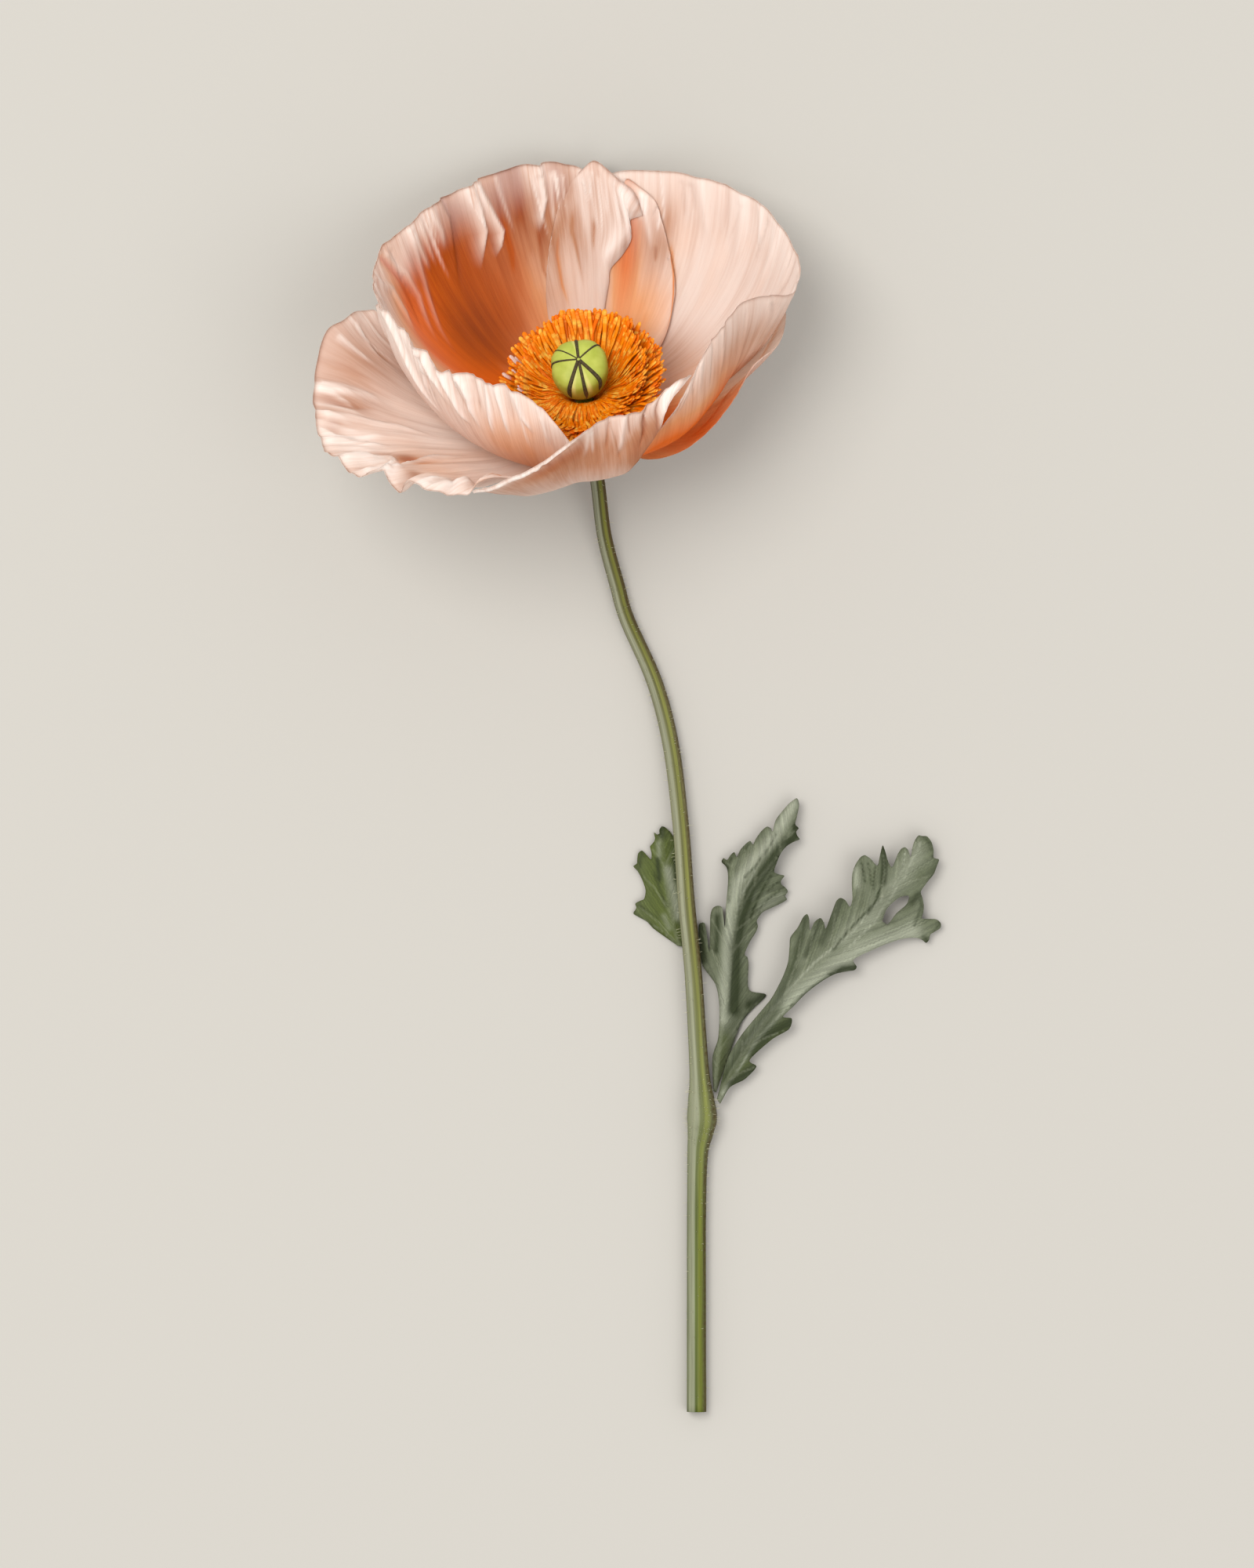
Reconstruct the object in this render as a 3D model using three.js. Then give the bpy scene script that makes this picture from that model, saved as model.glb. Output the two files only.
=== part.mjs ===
// A cut poppy lying on a flat surface. Millimetres, +Z up, the surface at Z = 0.
// The stem lies along Y with the flower at the +Y end. The origin is below the middle of the whole plant.
import * as THREE from 'three';

// ---- Flower head: its axis leans up out of the surface, and everything in it is placed by
// ---- an angle round the axis, a radius from it and a height along it above the receptacle.
const headCentre = new THREE.Vector3(-8.4, 75.6, 21.2); // top of the receptacle
const headElevation = 40; // degrees of the flower's axis above the surface
const headLean = 8; // degrees that the axis leans towards -X
const petalThickness = 0.6;
const petalLayer = 1.1; // from the middle of one petal to the next one outside it
const petalRoot = 2.35; // radius of the petals' roots, round the neck of the receptacle
const restHeight = 2.2; // the innermost petal's middle, where the flower rests on its back
const petalColumns = 16;
const petalRows = 9;

// ---- Receptacle, capsule and stamens
const neckRadius = 1.9;
const neckDepth = 6;
const discRadius = 3.7;
const discBottom = 0.85;
const discTop = 1.7;
const seatGap = 0.3;
const capsuleTilt = 31; // degrees, the capsule stands steeper than the flower's axis
const capsuleCentre = 10.4; // height on the flower's axis
const capsuleHalfLength = 6.3;
const capsuleRadius = 5.75;
const stamensPerWhorl = 18;

// ---- Stem and leaves
const stemSides = 12;
const leafThickness = 0.6;
const midribStations = 18;
const midribFineness = 12; // finer steps within a station, to find where each vein leaves the midrib
const veinSlant = 2.2; // fine steps towards the root per millimetre of vein

const radians = THREE.MathUtils.degToRad;

// The rim of the bowl that the petals share: angle, radius and height, then how full the wall is
// low down and high up, as parts of that radius.
const bowlRim = [
  [0, 44, 24.5, 0.5, 0.8],
  [30, 46, 26.5, 0.62, 0.93],
  [60, 43.5, 28, 0.62, 0.94],
  [90, 43, 28, 0.62, 0.94],
  [120, 42.5, 27.5, 0.62, 0.94],
  [150, 41.5, 27.5, 0.62, 0.94],
  [172, 37, 30, 0.65, 0.94],
  [200, 33, 31, 0.7, 0.95],
  [225, 30, 31, 0.77, 0.97],
  [255, 26, 25, 0.9, 1],
  [290, 25, 21.5, 0.94, 1],
  [315, 29.5, 27, 0.92, 1],
  [338, 33.5, 30.5, 0.78, 0.95],
  [349, 38, 29, 0.62, 0.85],
];
const bowlTurn = [...bowlRim, ...bowlRim, ...bowlRim].map((row, i) => {
  const turn = Math.floor(i / bowlRim.length) - 1;
  return [row[0] + 360 * turn, ...row.slice(1)];
});

// Each petal: the angles of its right and left margins at the root, half way and at the rim, and
// rows round its rim: angle, layer in the bowl counted outwards, reach along the bowl's wall, and
// how far the rim stands out from the wall and up from it.
const petals = [
  {
    name: 'petal_back_centre',
    right: [68, 76, 66],
    left: [104, 101, 91],
    rim: [
      [66, 0, 0.93, 0, 0],
      [71, 0, 0.95, 0, 0],
      [78, 0, 1.02, 0, 0],
      [82, 0, 0.995, 0, 0],
      [86, 0, 0.945, 0, 0],
      [91, 0, 0.88, 0, 0],
    ],
  },
  {
    name: 'petal_back_left',
    right: [95, 84, 76],
    left: [176, 176, 172],
    rim: [
      [76, 1.15, 1.05, 0, 0],
      [92, 1.15, 1.04, 0, 0],
      [108, 2, 1.04, 0, 0],
      [125, 2, 1.02, 0, 0],
      [150, 2, 1, 0.5, 0],
      [165, 1, 0.99, 0, 0],
      [172, 1, 0.98, 0, 0],
    ],
  },
  {
    name: 'petal_back_strip',
    right: [36, 46, 60],
    left: [84, 80, 72],
    rim: [[60, 1, 0.86, 0, 0], [72, 1, 0.98, 0, 0]],
  },
  {
    name: 'petal_right',
    right: [-68, -67, -50],
    left: [84, 92, 86],
    rim: [
      [-50, 2, 0.96, 0, -1],
      [-38, 2, 1, 0, -1],
      [-20, 2, 1, 0, 0],
      [-10, 2, 1, 0, 0],
      [6, 2, 1, 0, 0],
      [24, 2, 1, 0, 0],
      [47, 2, 1, 0, 0],
      [86, 2, 1, 0, 0],
    ],
  },
  {
    name: 'petal_left_wall',
    right: [186, 178, 172],
    left: [262, 264, 262],
    rim: [
      [172, 2, 1.08, 0, 0],
      [185, 2, 1.09, 0, 0],
      [198, 2, 1.06, 0, 0],
      [208, 2, 1, 0, 0],
      [225, 2, 1, 0, 0],
      [245, 2, 1, 0, 0],
      [262, 2, 0.95, 0, -2],
    ],
  },
  {
    name: 'petal_left_spread',
    right: [170, 166, 160],
    left: [250, 244, 250],
    rim: [
      [160, 3, 1, 0, 2],
      [170, 3, 1, 6, -2],
      [180, 3, 1, 14.5, -7.5],
      [190, 3, 1, 19, -11],
      [200, 3, 1, 21.5, -14],
      [212, 3, 1, 20, -15],
      [222, 3, 1, 18.5, -15],
      [229, 3, 1, 17.5, -15],
      [234, 3, 1, 12.6, -14],
      [240, 3, 0.96, 8, -12],
      [246, 3, 0.94, 5, -9],
      [250, 3, 0.93, 3.5, -7],
    ],
  },
  {
    name: 'petal_right_outer',
    right: [-64, -47, -8],
    left: [58, 55, 40],
    rim: [[-8, 3.9, 0.82, 0.4, 0], [15, 3.8, 0.83, 0.2, 0], [40, 3.3, 0.78, 0, 0]],
  },
  {
    name: 'petal_front',
    right: [238, 238, 236],
    left: [285, 285, 316],
    rim: [
      [236, 5.9, 1, 11, -5.2],
      [242, 5.9, 1, 10.8, -6.9],
      [252, 5.4, 1, 8.6, -4.9],
      [264, 4.7, 1, 3.9, -2.4],
      [276, 4, 1, 0, -2.5],
      [290, 4, 1, 0, -2],
      [300, 4, 1, 0, -2],
      [308, 4, 1.02, 0, -1],
      [316, 4, 1.09, 0, 0],
    ],
  },
];

// Points that the stem's middle line passes through below the flower, with its radius at each.
const stemRoute = [
  [-6.0, 61.5, 8.6, 1.45],
  [-4.6, 50.5, 3.6, 1.45],
  [-2.0, 40.5, 1.9, 1.5],
  [0.0, 33.6, 1.7, 1.5],
  [5.6, 20.8, 1.8, 1.6],
  [8.9, 8.0, 2.2, 1.65],
  [10.9, -8.0, 3.1, 1.65],
  [12.1, -24.0, 3.3, 1.7],
  [13.6, -40.0, 3.1, 1.75],
  [14.7, -58.0, 2.7, 1.95],
  [15.1, -64.0, 2.9, 2.6],
  [15.3, -68.0, 3.05, 3.0],
  [15.0, -71.0, 2.6, 2.6],
  [14.4, -76.0, 2.2, 2.05],
  [14.2, -90.0, 2.0, 1.9],
  [14.2, -128.0, 1.95, 1.95],
];

// Each leaf: its midrib from the root to the tip (X, Y, Z), and the outline of each side of it
// from the root to the tip (X, Y), through the tips of its lobes and the notches between them.
// The blade drops away from the midrib by the slopes given.
const leaves = [
  {
    name: 'leaf_right',
    midrib: [
      [18.6, -64.9, 3.4],
      [20.8, -59.5, 4.2],
      [24, -54.4, 4.8],
      [28.6, -47.8, 5.4],
      [34.4, -40.8, 6],
      [41, -34.5, 6.2],
      [48, -27.5, 5.8],
      [54, -20.5, 5],
      [60.2, -10.6, 3.4],
    ],
    leftSlope: 0.18,
    rightSlope: 0.34,
    left: [
      [18.3, -64.2],
      [20.5, -56],
      [23.4, -51],
      [29.5, -43.5],
      [33, -37.5],
      [33.2, -32],
      [36.4, -26.5],
      [37.4, -30.5],
      [39.2, -27],
      [40.4, -29.5],
      [42.5, -24],
      [43.8, -23.2],
      [45.2, -25.4],
      [45.8, -19],
      [48.3, -14.6],
      [50.5, -17],
      [51.8, -12.5],
      [53.6, -17],
      [56.2, -13.1],
      [57.5, -15.5],
      [58.4, -12.6],
    ],
    right: [
      [19, -65.2],
      [21, -61.8],
      [24, -60.2],
      [26.4, -57.6],
      [25, -56.2],
      [29.6, -52],
      [33, -50],
      [33.6, -47.8],
      [31.6, -47.2],
      [39, -40.8],
      [43.6, -38.6],
      [46.7, -37.4],
      [46.4, -35.8],
      [54.9, -31.8],
      [61, -32.2],
      [63.8, -28.6],
      [60.4, -27],
      [60.4, -24],
      [59.8, -21.8],
      [62.6, -18.6],
      [63.8, -15.5],
      [62.2, -12.6],
    ],
  },
  {
    name: 'leaf_middle',
    midrib: [
      [17.9, -63.2, 1.6],
      [18.6, -55.5, 2.2],
      [19.8, -47.4, 3],
      [20.8, -40.3, 3.8],
      [21.6, -32.8, 4.6],
      [23, -26.2, 5.2],
      [25.9, -20.6, 5.4],
      [30.6, -14.6, 5],
      [33.2, -8.5, 4.2],
      [34.9, -3.2, 3],
    ],
    leftSlope: 0.5,
    rightSlope: 0.62,
    left: [
      [17.6, -62.6],
      [17.4, -55.8],
      [18.6, -51.7],
      [18.8, -45.1],
      [18, -40.8],
      [15.4, -37],
      [15.1, -28.2],
      [16.9, -34.5],
      [17.2, -25.6],
      [19.4, -25.2],
      [20.2, -29.8],
      [20.5, -20],
      [19.4, -16],
      [21.6, -14.2],
      [22.6, -15.4],
      [25, -11.7],
      [25.9, -12.8],
      [28.6, -9],
      [29.8, -9.6],
      [32.6, -4.4],
    ],
    right: [
      [18.2, -62.9],
      [20.4, -56.5],
      [23.2, -49],
      [25.6, -46],
      [28.4, -43],
      [24.9, -42],
      [24.8, -35.5],
      [23.6, -37.5],
      [26.5, -29.5],
      [27, -27.6],
      [32.2, -24],
      [32.8, -21.8],
      [31.2, -20.6],
      [31.9, -18.6],
      [30, -18],
      [32, -12.8],
      [35, -11],
      [35.1, -8.8],
      [34.6, -6],
    ],
  },
  {
    name: 'leaf_left',
    midrib: [
      [10.9, -33.6, 0.9],
      [9.4, -28.5, 1],
      [8.2, -22, 1.1],
      [7.6, -15, 1.1],
      [7.1, -8.6, 0.9],
    ],
    leftSlope: 0.06,
    rightSlope: 0.16,
    left: [
      [10.3, -33],
      [7.4, -31.4],
      [4.5, -29],
      [1.5, -26.2],
      [3.6, -22.4],
      [2.7, -19.7],
      [1.5, -16.6],
      [3, -13.6],
      [5, -15.6],
      [5, -12.3],
    ],
    right: [
      [11.5, -33.2],
      [11.7, -28],
      [11.6, -22],
      [11, -17.5],
      [10.2, -15],
      [10.1, -12.4],
      [8.8, -9.8],
    ],
  },
];

// ---- Materials
const petalMaterial = new THREE.MeshStandardMaterial({ color: '#efc3a6', roughness: 0.75, metalness: 0 });
const stamenMaterial = new THREE.MeshStandardMaterial({ color: '#f08a12', roughness: 0.7, metalness: 0 });
const capsuleMaterial = new THREE.MeshStandardMaterial({ color: '#a9b35c', roughness: 0.55, metalness: 0 });
const stemMaterial = new THREE.MeshStandardMaterial({ color: '#83865a', roughness: 0.6, metalness: 0 });
const leafMaterial = new THREE.MeshStandardMaterial({ color: '#7c8868', roughness: 0.7, metalness: 0 });

// ---- The flower's own directions
const elevation = radians(headElevation);
const lean = radians(headLean);
const flowerAxis = new THREE.Vector3(
  -Math.sin(lean) * Math.cos(elevation),
  Math.cos(lean) * Math.cos(elevation),
  Math.sin(elevation),
);
const flowerRight = new THREE.Vector3(Math.cos(lean), Math.sin(lean), 0);
const flowerBack = new THREE.Vector3().crossVectors(flowerAxis, flowerRight);

function inFlower(angle, radius, height) {
  return headCentre
    .clone()
    .addScaledVector(flowerRight, radius * Math.cos(radians(angle)))
    .addScaledVector(flowerBack, radius * Math.sin(radians(angle)))
    .addScaledVector(flowerAxis, height);
}

// ---- Curves through tables

// The values of a table at one angle, on a smooth curve through its rows.
function smoothRow(table, angle) {
  const last = table.length - 1;
  let i = 0;
  while (i < last - 1 && angle > table[i + 1][0]) {
    i += 1;
  }
  const before = table[Math.max(i - 1, 0)];
  const from = table[i];
  const to = table[i + 1];
  const after = table[Math.min(i + 2, last)];
  const t = THREE.MathUtils.clamp((angle - from[0]) / (to[0] - from[0]), 0, 1);
  const span = to[0] - from[0];
  return from.slice(1).map((value, k) => {
    const slopeFrom = (to[k + 1] - before[k + 1]) / (to[0] - before[0]);
    const slopeTo = (after[k + 1] - value) / (after[0] - from[0]);
    return hermite(value, to[k + 1], slopeFrom * span, slopeTo * span, t);
  });
}

function hermite(from, to, slopeFrom, slopeTo, t) {
  const t2 = t * t;
  const t3 = t2 * t;
  return (
    (2 * t3 - 3 * t2 + 1) * from + (t3 - 2 * t2 + t) * slopeFrom + (3 * t2 - 2 * t3) * to + (t3 - t2) * slopeTo
  );
}

// A value given at the start, half way and at the end.
function threeValues([start, middle, end], t) {
  return start * (1 - t) * (1 - 2 * t) + 4 * middle * t * (1 - t) + end * t * (2 * t - 1);
}

function cubicBezier(a, b, c, d, t) {
  const s = 1 - t;
  return s * s * s * a + 3 * s * s * t * b + 3 * s * t * t * c + t * t * t * d;
}

// ---- Petals

// Radius and height of the bowl's wall at an angle, from the root (0) to the rim (1).
function bowlWall(angle, along) {
  const [radius, height, low, high] = smoothRow(bowlTurn, angle);
  return [
    cubicBezier(petalRoot, low * radius, high * radius, radius, along),
    cubicBezier(0, -0.06 * height, 0.3 * height, height, along),
  ];
}

// A height that never goes below the resting height, with a soft bend into it.
function onSurface(z) {
  const softness = 2;
  return restHeight + softness * Math.log1p(Math.exp((z - restHeight) / softness));
}

// The middle of a petal at a place across it (0 right margin, 1 left margin) and along it.
function petalPoint(petal, across, along) {
  const rimAngle = THREE.MathUtils.lerp(petal.right[2], petal.left[2], across);
  const [layer, reach, out, up] = smoothRow(petal.rim, rimAngle);
  const corner = 1 - 0.12 * Math.abs(2 * across - 1) ** 7;
  const wall = (aside, t) => {
    const angle = THREE.MathUtils.lerp(threeValues(petal.right, t), threeValues(petal.left, t), across) + aside;
    const [radius, height] = bowlWall(angle, t * reach * corner);
    const point = inFlower(angle, radius + out * t ** 3, height + up * t ** 3);
    point.z = onSurface(point.z);
    return point;
  };
  const step = 0.02;
  const alongWall = wall(0, along + step).sub(wall(0, Math.max(along - step, 0)));
  const roundWall = wall(1, along).sub(wall(-1, along));
  const outwards = roundWall.cross(alongWall).normalize();
  return wall(0, along).addScaledVector(outwards, layer * petalLayer);
}

function petalGeometry(petal) {
  const grid = [];
  for (let row = 0; row <= petalRows; row += 1) {
    const line = [];
    for (let column = 0; column <= petalColumns; column += 1) {
      line.push(petalPoint(petal, column / petalColumns, row / petalRows));
    }
    grid.push(line);
  }
  return sheetGeometry(grid, petalThickness);
}

// A closed sheet of even thickness whose middle passes through a grid of points.
function sheetGeometry(grid, thickness) {
  const rows = grid.length;
  const columns = grid[0].length;
  const positions = [];
  for (const side of [0.5, -0.5]) {
    for (let i = 0; i < rows; i += 1) {
      for (let j = 0; j < columns; j += 1) {
        const acrossGrid = grid[i][Math.min(j + 1, columns - 1)].clone().sub(grid[i][Math.max(j - 1, 0)]);
        const alongGrid = grid[Math.min(i + 1, rows - 1)][j].clone().sub(grid[Math.max(i - 1, 0)][j]);
        const normal = acrossGrid.cross(alongGrid).normalize();
        positions.push(...grid[i][j].clone().addScaledVector(normal, side * thickness).toArray());
      }
    }
  }
  const at = (side, i, j) => (side * rows + i) * columns + j;
  const faces = [];
  const quad = (a, b, c, d) => faces.push(a, b, c, a, c, d);
  for (let i = 0; i < rows - 1; i += 1) {
    for (let j = 0; j < columns - 1; j += 1) {
      quad(at(0, i, j), at(0, i, j + 1), at(0, i + 1, j + 1), at(0, i + 1, j));
      quad(at(1, i, j), at(1, i + 1, j), at(1, i + 1, j + 1), at(1, i, j + 1));
    }
    quad(at(0, i, 0), at(0, i + 1, 0), at(1, i + 1, 0), at(1, i, 0));
    quad(at(0, i + 1, columns - 1), at(0, i, columns - 1), at(1, i, columns - 1), at(1, i + 1, columns - 1));
  }
  for (let j = 0; j < columns - 1; j += 1) {
    quad(at(0, 0, j + 1), at(0, 0, j), at(1, 0, j), at(1, 0, j + 1));
    quad(at(0, rows - 1, j), at(0, rows - 1, j + 1), at(1, rows - 1, j + 1), at(1, rows - 1, j));
  }
  return indexedGeometry(positions, faces);
}

function indexedGeometry(positions, faces) {
  const geometry = new THREE.BufferGeometry();
  geometry.setAttribute('position', new THREE.Float32BufferAttribute(positions, 3));
  geometry.setIndex(faces);
  geometry.computeVertexNormals();
  return geometry;
}

// ---- Round pieces: a closed skin over rings set square to a middle line
function ringGeometry(middle, radii, sides) {
  const positions = [];
  let sideways = new THREE.Vector3(1, 0, 0);
  middle.forEach((point, i) => {
    const before = middle[Math.max(i - 1, 0)];
    const after = middle[Math.min(i + 1, middle.length - 1)];
    const direction = after.clone().sub(before).normalize();
    sideways = sideways.clone().addScaledVector(direction, -sideways.dot(direction)).normalize();
    const other = new THREE.Vector3().crossVectors(direction, sideways);
    for (let k = 0; k < sides; k += 1) {
      const turn = (2 * Math.PI * k) / sides;
      const vertex = point
        .clone()
        .addScaledVector(sideways, radii[i] * Math.cos(turn))
        .addScaledVector(other, radii[i] * Math.sin(turn));
      positions.push(...vertex.toArray());
    }
  });
  positions.push(...middle[0].toArray(), ...middle[middle.length - 1].toArray());
  const start = middle.length * sides;
  const end = start + 1;
  const faces = [];
  for (let k = 0; k < sides; k += 1) {
    const next = (k + 1) % sides;
    for (let i = 0; i < middle.length - 1; i += 1) {
      const low = i * sides;
      const high = low + sides;
      faces.push(low + k, low + next, high + next, low + k, high + next, high + k);
    }
    const last = (middle.length - 1) * sides;
    faces.push(start, next, k, end, last + k, last + next);
  }
  return indexedGeometry(positions, faces);
}

// ---- Stem with its receptacle: one piece, from the disc under the stamens to the cut end
function stemGeometry() {
  const middle = [];
  const radii = [];
  const ring = (height, radius) => {
    middle.push(inFlower(0, 0, height));
    radii.push(radius);
  };
  ring(discTop, discRadius * 0.93);
  ring((discTop + discBottom) / 2, discRadius);
  ring(discBottom, discRadius * 0.93);
  ring(discBottom - 0.25, neckRadius);
  ring(-neckDepth * 0.5, neckRadius);
  ring(-neckDepth, neckRadius * 0.9);
  const line = [new THREE.Vector4(...inFlower(0, 0, -neckDepth * 1.5).toArray(), stemRoute[0][3])];
  for (const row of stemRoute) {
    line.push(new THREE.Vector4(...row));
  }
  const steps = 4;
  for (let i = 0; i < line.length - 1; i += 1) {
    for (let k = i === 0 ? 0 : 1; k <= steps; k += 1) {
      const q = catmullRom(line, i, k / steps);
      middle.push(new THREE.Vector3(q.x, q.y, q.z));
      radii.push(q.w);
    }
  }
  return ringGeometry(middle, radii, stemSides);
}

// A point between rows i and i + 1 of a line, on a smooth curve through all of them.
function catmullRom(line, i, t) {
  const p0 = line[Math.max(i - 1, 0)];
  const p1 = line[i];
  const p2 = line[i + 1];
  const p3 = line[Math.min(i + 2, line.length - 1)];
  const result = p1.clone();
  for (const key of Object.keys(p1)) {
    result[key] = hermite(p1[key], p2[key], (p2[key] - p0[key]) / 2, (p3[key] - p1[key]) / 2, t);
  }
  return result;
}

// ---- Seed capsule on its short stalk
function capsuleGeometry() {
  const foot = inFlower(0, 0, discTop + seatGap);
  const heart = inFlower(0, 0, capsuleCentre);
  const tilt = radians(headElevation + capsuleTilt);
  const axis = new THREE.Vector3(
    -Math.sin(lean) * Math.cos(tilt),
    Math.cos(lean) * Math.cos(tilt),
    Math.sin(tilt),
  );
  const crown = heart.clone().addScaledVector(axis, capsuleHalfLength);
  const curve = new THREE.QuadraticBezierCurve3(foot, heart, crown);
  const profile = [
    [0, 1.5],
    [0.1, 1.6],
    [0.2, 2.6],
    [0.32, 4.1],
    [0.45, 5.1],
    [0.58, 5.55],
    [0.68, capsuleRadius],
    [0.79, 5.6],
    [0.87, 5.0],
    [0.94, 3.9],
    [0.975, 2.6],
    [1, 1.1],
  ];
  const middle = profile.map(([t]) => curve.getPoint(t));
  const radii = profile.map(([, radius]) => radius);
  return ringGeometry(middle, radii, 20);
}

// ---- Stamens: club-shaped tufts in two whorls, which rise from the disc round the capsule
const outerWhorl = { root: 3.15, reach: 16.8, rootHalf: 0.2, tipHalf: 1.15, lift: 0, shift: 0 };
const innerWhorl = { root: 2.05, reach: 13.2, rootHalf: 0.17, tipHalf: 0.95, lift: 3, shift: 0.5 };

function stamenGeometry(whorl, number) {
  const angle = ((number + whorl.shift) * 360) / stamensPerWhorl;
  const backness = 0.5 + 0.5 * Math.sin(radians(angle + 20));
  const tipHeight = 3.8 + 8.8 * backness + whorl.lift * (0.5 + 0.5 * backness);
  const rootHeight = discTop + seatGap + whorl.rootHalf;
  const shape = [
    [0, 1, 0],
    [0.22, 1.1, 0.1],
    [0.5, 1.6, 0.38],
    [0.78, 2.6, 0.72],
    [0.93, 2.9, 0.92],
    [1, 1.6, 1],
  ];
  const middle = shape.map(([t, , rise]) =>
    inFlower(
      angle,
      THREE.MathUtils.lerp(whorl.root, whorl.reach, t),
      THREE.MathUtils.lerp(rootHeight, tipHeight, rise),
    ),
  );
  const radii = shape.map(([t, swell]) => {
    const even = THREE.MathUtils.lerp(whorl.rootHalf, whorl.tipHalf, t);
    return (even * swell) / (1 + 1.6 * t);
  });
  return ringGeometry(middle, radii, 6);
}

// ---- Leaves: a blade between the midrib and the outline of each side
function leafGeometry(leaf) {
  const midrib = new THREE.CatmullRomCurve3(leaf.midrib.map((p) => new THREE.Vector3(...p)));
  const stations = midrib.getSpacedPoints(midribStations);
  const samples = midrib.getSpacedPoints(midribStations * midribFineness);
  const blade = new Blade();
  for (const side of ['left', 'right']) {
    const slope = side === 'left' ? leaf.leftSlope : leaf.rightSlope;
    const halfWay = [];
    const edge = [];
    const feet = [];
    for (const [x, y] of leaf[side]) {
      const distances = samples.map((p) => Math.hypot(p.x - x, p.y - y));
      const nearest = Math.min(...distances);
      const slant = veinSlant * nearest;
      const foot = Math.max(distances.indexOf(nearest) - slant, feet.at(-1) * midribFineness || 0);
      const root = samples[Math.round(foot)];
      const drop = (d) => Math.max(root.z - slope * d, leafThickness / 2 + 0.05);
      feet.push(foot / midribFineness);
      halfWay.push(new THREE.Vector3((root.x + x) / 2, (root.y + y) / 2, drop(nearest * 0.45)));
      edge.push(new THREE.Vector3(x, y, drop(nearest)));
    }
    feet.push(midribStations);
    halfWay.push(stations.at(-1));
    edge.push(stations.at(-1));
    blade.addSide(stations, halfWay, edge, feet, side === 'left');
  }
  return blade.geometry();
}

// A closed blade of even thickness, gathered one side at a time.
class Blade {
  constructor() {
    this.points = [];
    this.faces = [];
    this.index = new Map();
  }

  vertex(p) {
    if (!this.index.has(p)) {
      this.index.set(p, this.points.length);
      this.points.push(p);
    }
    return this.index.get(p);
  }

  triangle(a, b, c, flipped) {
    const corners = [a, b, c].map((p) => this.vertex(p));
    if (new Set(corners).size === 3) {
      this.faces.push(flipped ? corners.reverse() : corners);
    }
  }

  // Fills between the midrib and the half-way points, and from those out to the edge.
  addSide(stations, halfWay, edge, feet, flipped) {
    let i = 0;
    let j = 0;
    while (i < stations.length - 1 || j < edge.length - 1) {
      const edgeDone = j === edge.length - 1;
      if (edgeDone || (i < stations.length - 1 && i + 1 <= feet[j + 1])) {
        this.triangle(stations[i], halfWay[j], stations[i + 1], flipped);
        i += 1;
      } else {
        this.triangle(stations[i], halfWay[j], halfWay[j + 1], flipped);
        this.triangle(halfWay[j], edge[j], edge[j + 1], flipped);
        this.triangle(halfWay[j], edge[j + 1], halfWay[j + 1], flipped);
        j += 1;
      }
    }
  }

  geometry() {
    const count = this.points.length;
    const positions = [];
    for (const lift of [0.5, -0.5]) {
      for (const p of this.points) {
        positions.push(p.x, p.y, p.z + lift * leafThickness);
      }
    }
    const skin = [];
    const edges = new Map();
    for (const [a, b, c] of this.faces) {
      skin.push(a, b, c, a + count, c + count, b + count);
      for (const [from, to] of [[a, b], [b, c], [c, a]]) {
        edges.set(`${from},${to}`, [from, to]);
      }
    }
    for (const [from, to] of edges.values()) {
      if (!edges.has(`${to},${from}`)) {
        skin.push(from, from + count, to + count, from, to + count, to);
      }
    }
    return indexedGeometry(positions, skin);
  }
}

// ---- The whole plant
const poppy = new THREE.Group();

function add(name, geometry, material) {
  const mesh = new THREE.Mesh(geometry, material);
  mesh.name = name;
  poppy.add(mesh);
}

add('stem', stemGeometry(), stemMaterial);
for (const leaf of leaves) {
  add(leaf.name, leafGeometry(leaf), leafMaterial);
}
for (const petal of petals) {
  add(petal.name, petalGeometry(petal), petalMaterial);
}
add('capsule', capsuleGeometry(), capsuleMaterial);
for (const [whorlName, whorl] of [['outer', outerWhorl], ['inner', innerWhorl]]) {
  for (let number = 0; number < stamensPerWhorl; number += 1) {
    const label = String(number + 1).padStart(2, '0');
    add(`stamens_${whorlName}_${label}`, stamenGeometry(whorl, number), stamenMaterial);
  }
}

export default poppy;
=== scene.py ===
"""A cut poppy lying on a pale floor, seen from straight above.

Lengths in this script are millimetres, and meshes are scaled to metres as they are made. The frame is the
CAD model's: +Z up from the floor, the stem along Y with the flower at the +Y end.
"""
import math

import bpy
import numpy as np
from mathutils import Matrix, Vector, geometry


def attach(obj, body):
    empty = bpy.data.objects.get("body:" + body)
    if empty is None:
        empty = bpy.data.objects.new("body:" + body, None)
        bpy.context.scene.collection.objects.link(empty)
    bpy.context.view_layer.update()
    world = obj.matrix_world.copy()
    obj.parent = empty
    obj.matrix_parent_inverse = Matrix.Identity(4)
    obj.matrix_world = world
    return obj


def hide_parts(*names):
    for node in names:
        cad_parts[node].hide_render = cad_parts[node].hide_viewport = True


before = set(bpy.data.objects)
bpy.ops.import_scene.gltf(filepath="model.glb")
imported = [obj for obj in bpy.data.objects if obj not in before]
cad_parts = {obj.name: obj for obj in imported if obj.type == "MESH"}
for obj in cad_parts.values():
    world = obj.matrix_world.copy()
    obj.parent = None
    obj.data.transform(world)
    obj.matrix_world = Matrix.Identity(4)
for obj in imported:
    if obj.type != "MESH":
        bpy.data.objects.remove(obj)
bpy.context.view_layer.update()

MM = 0.001

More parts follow.
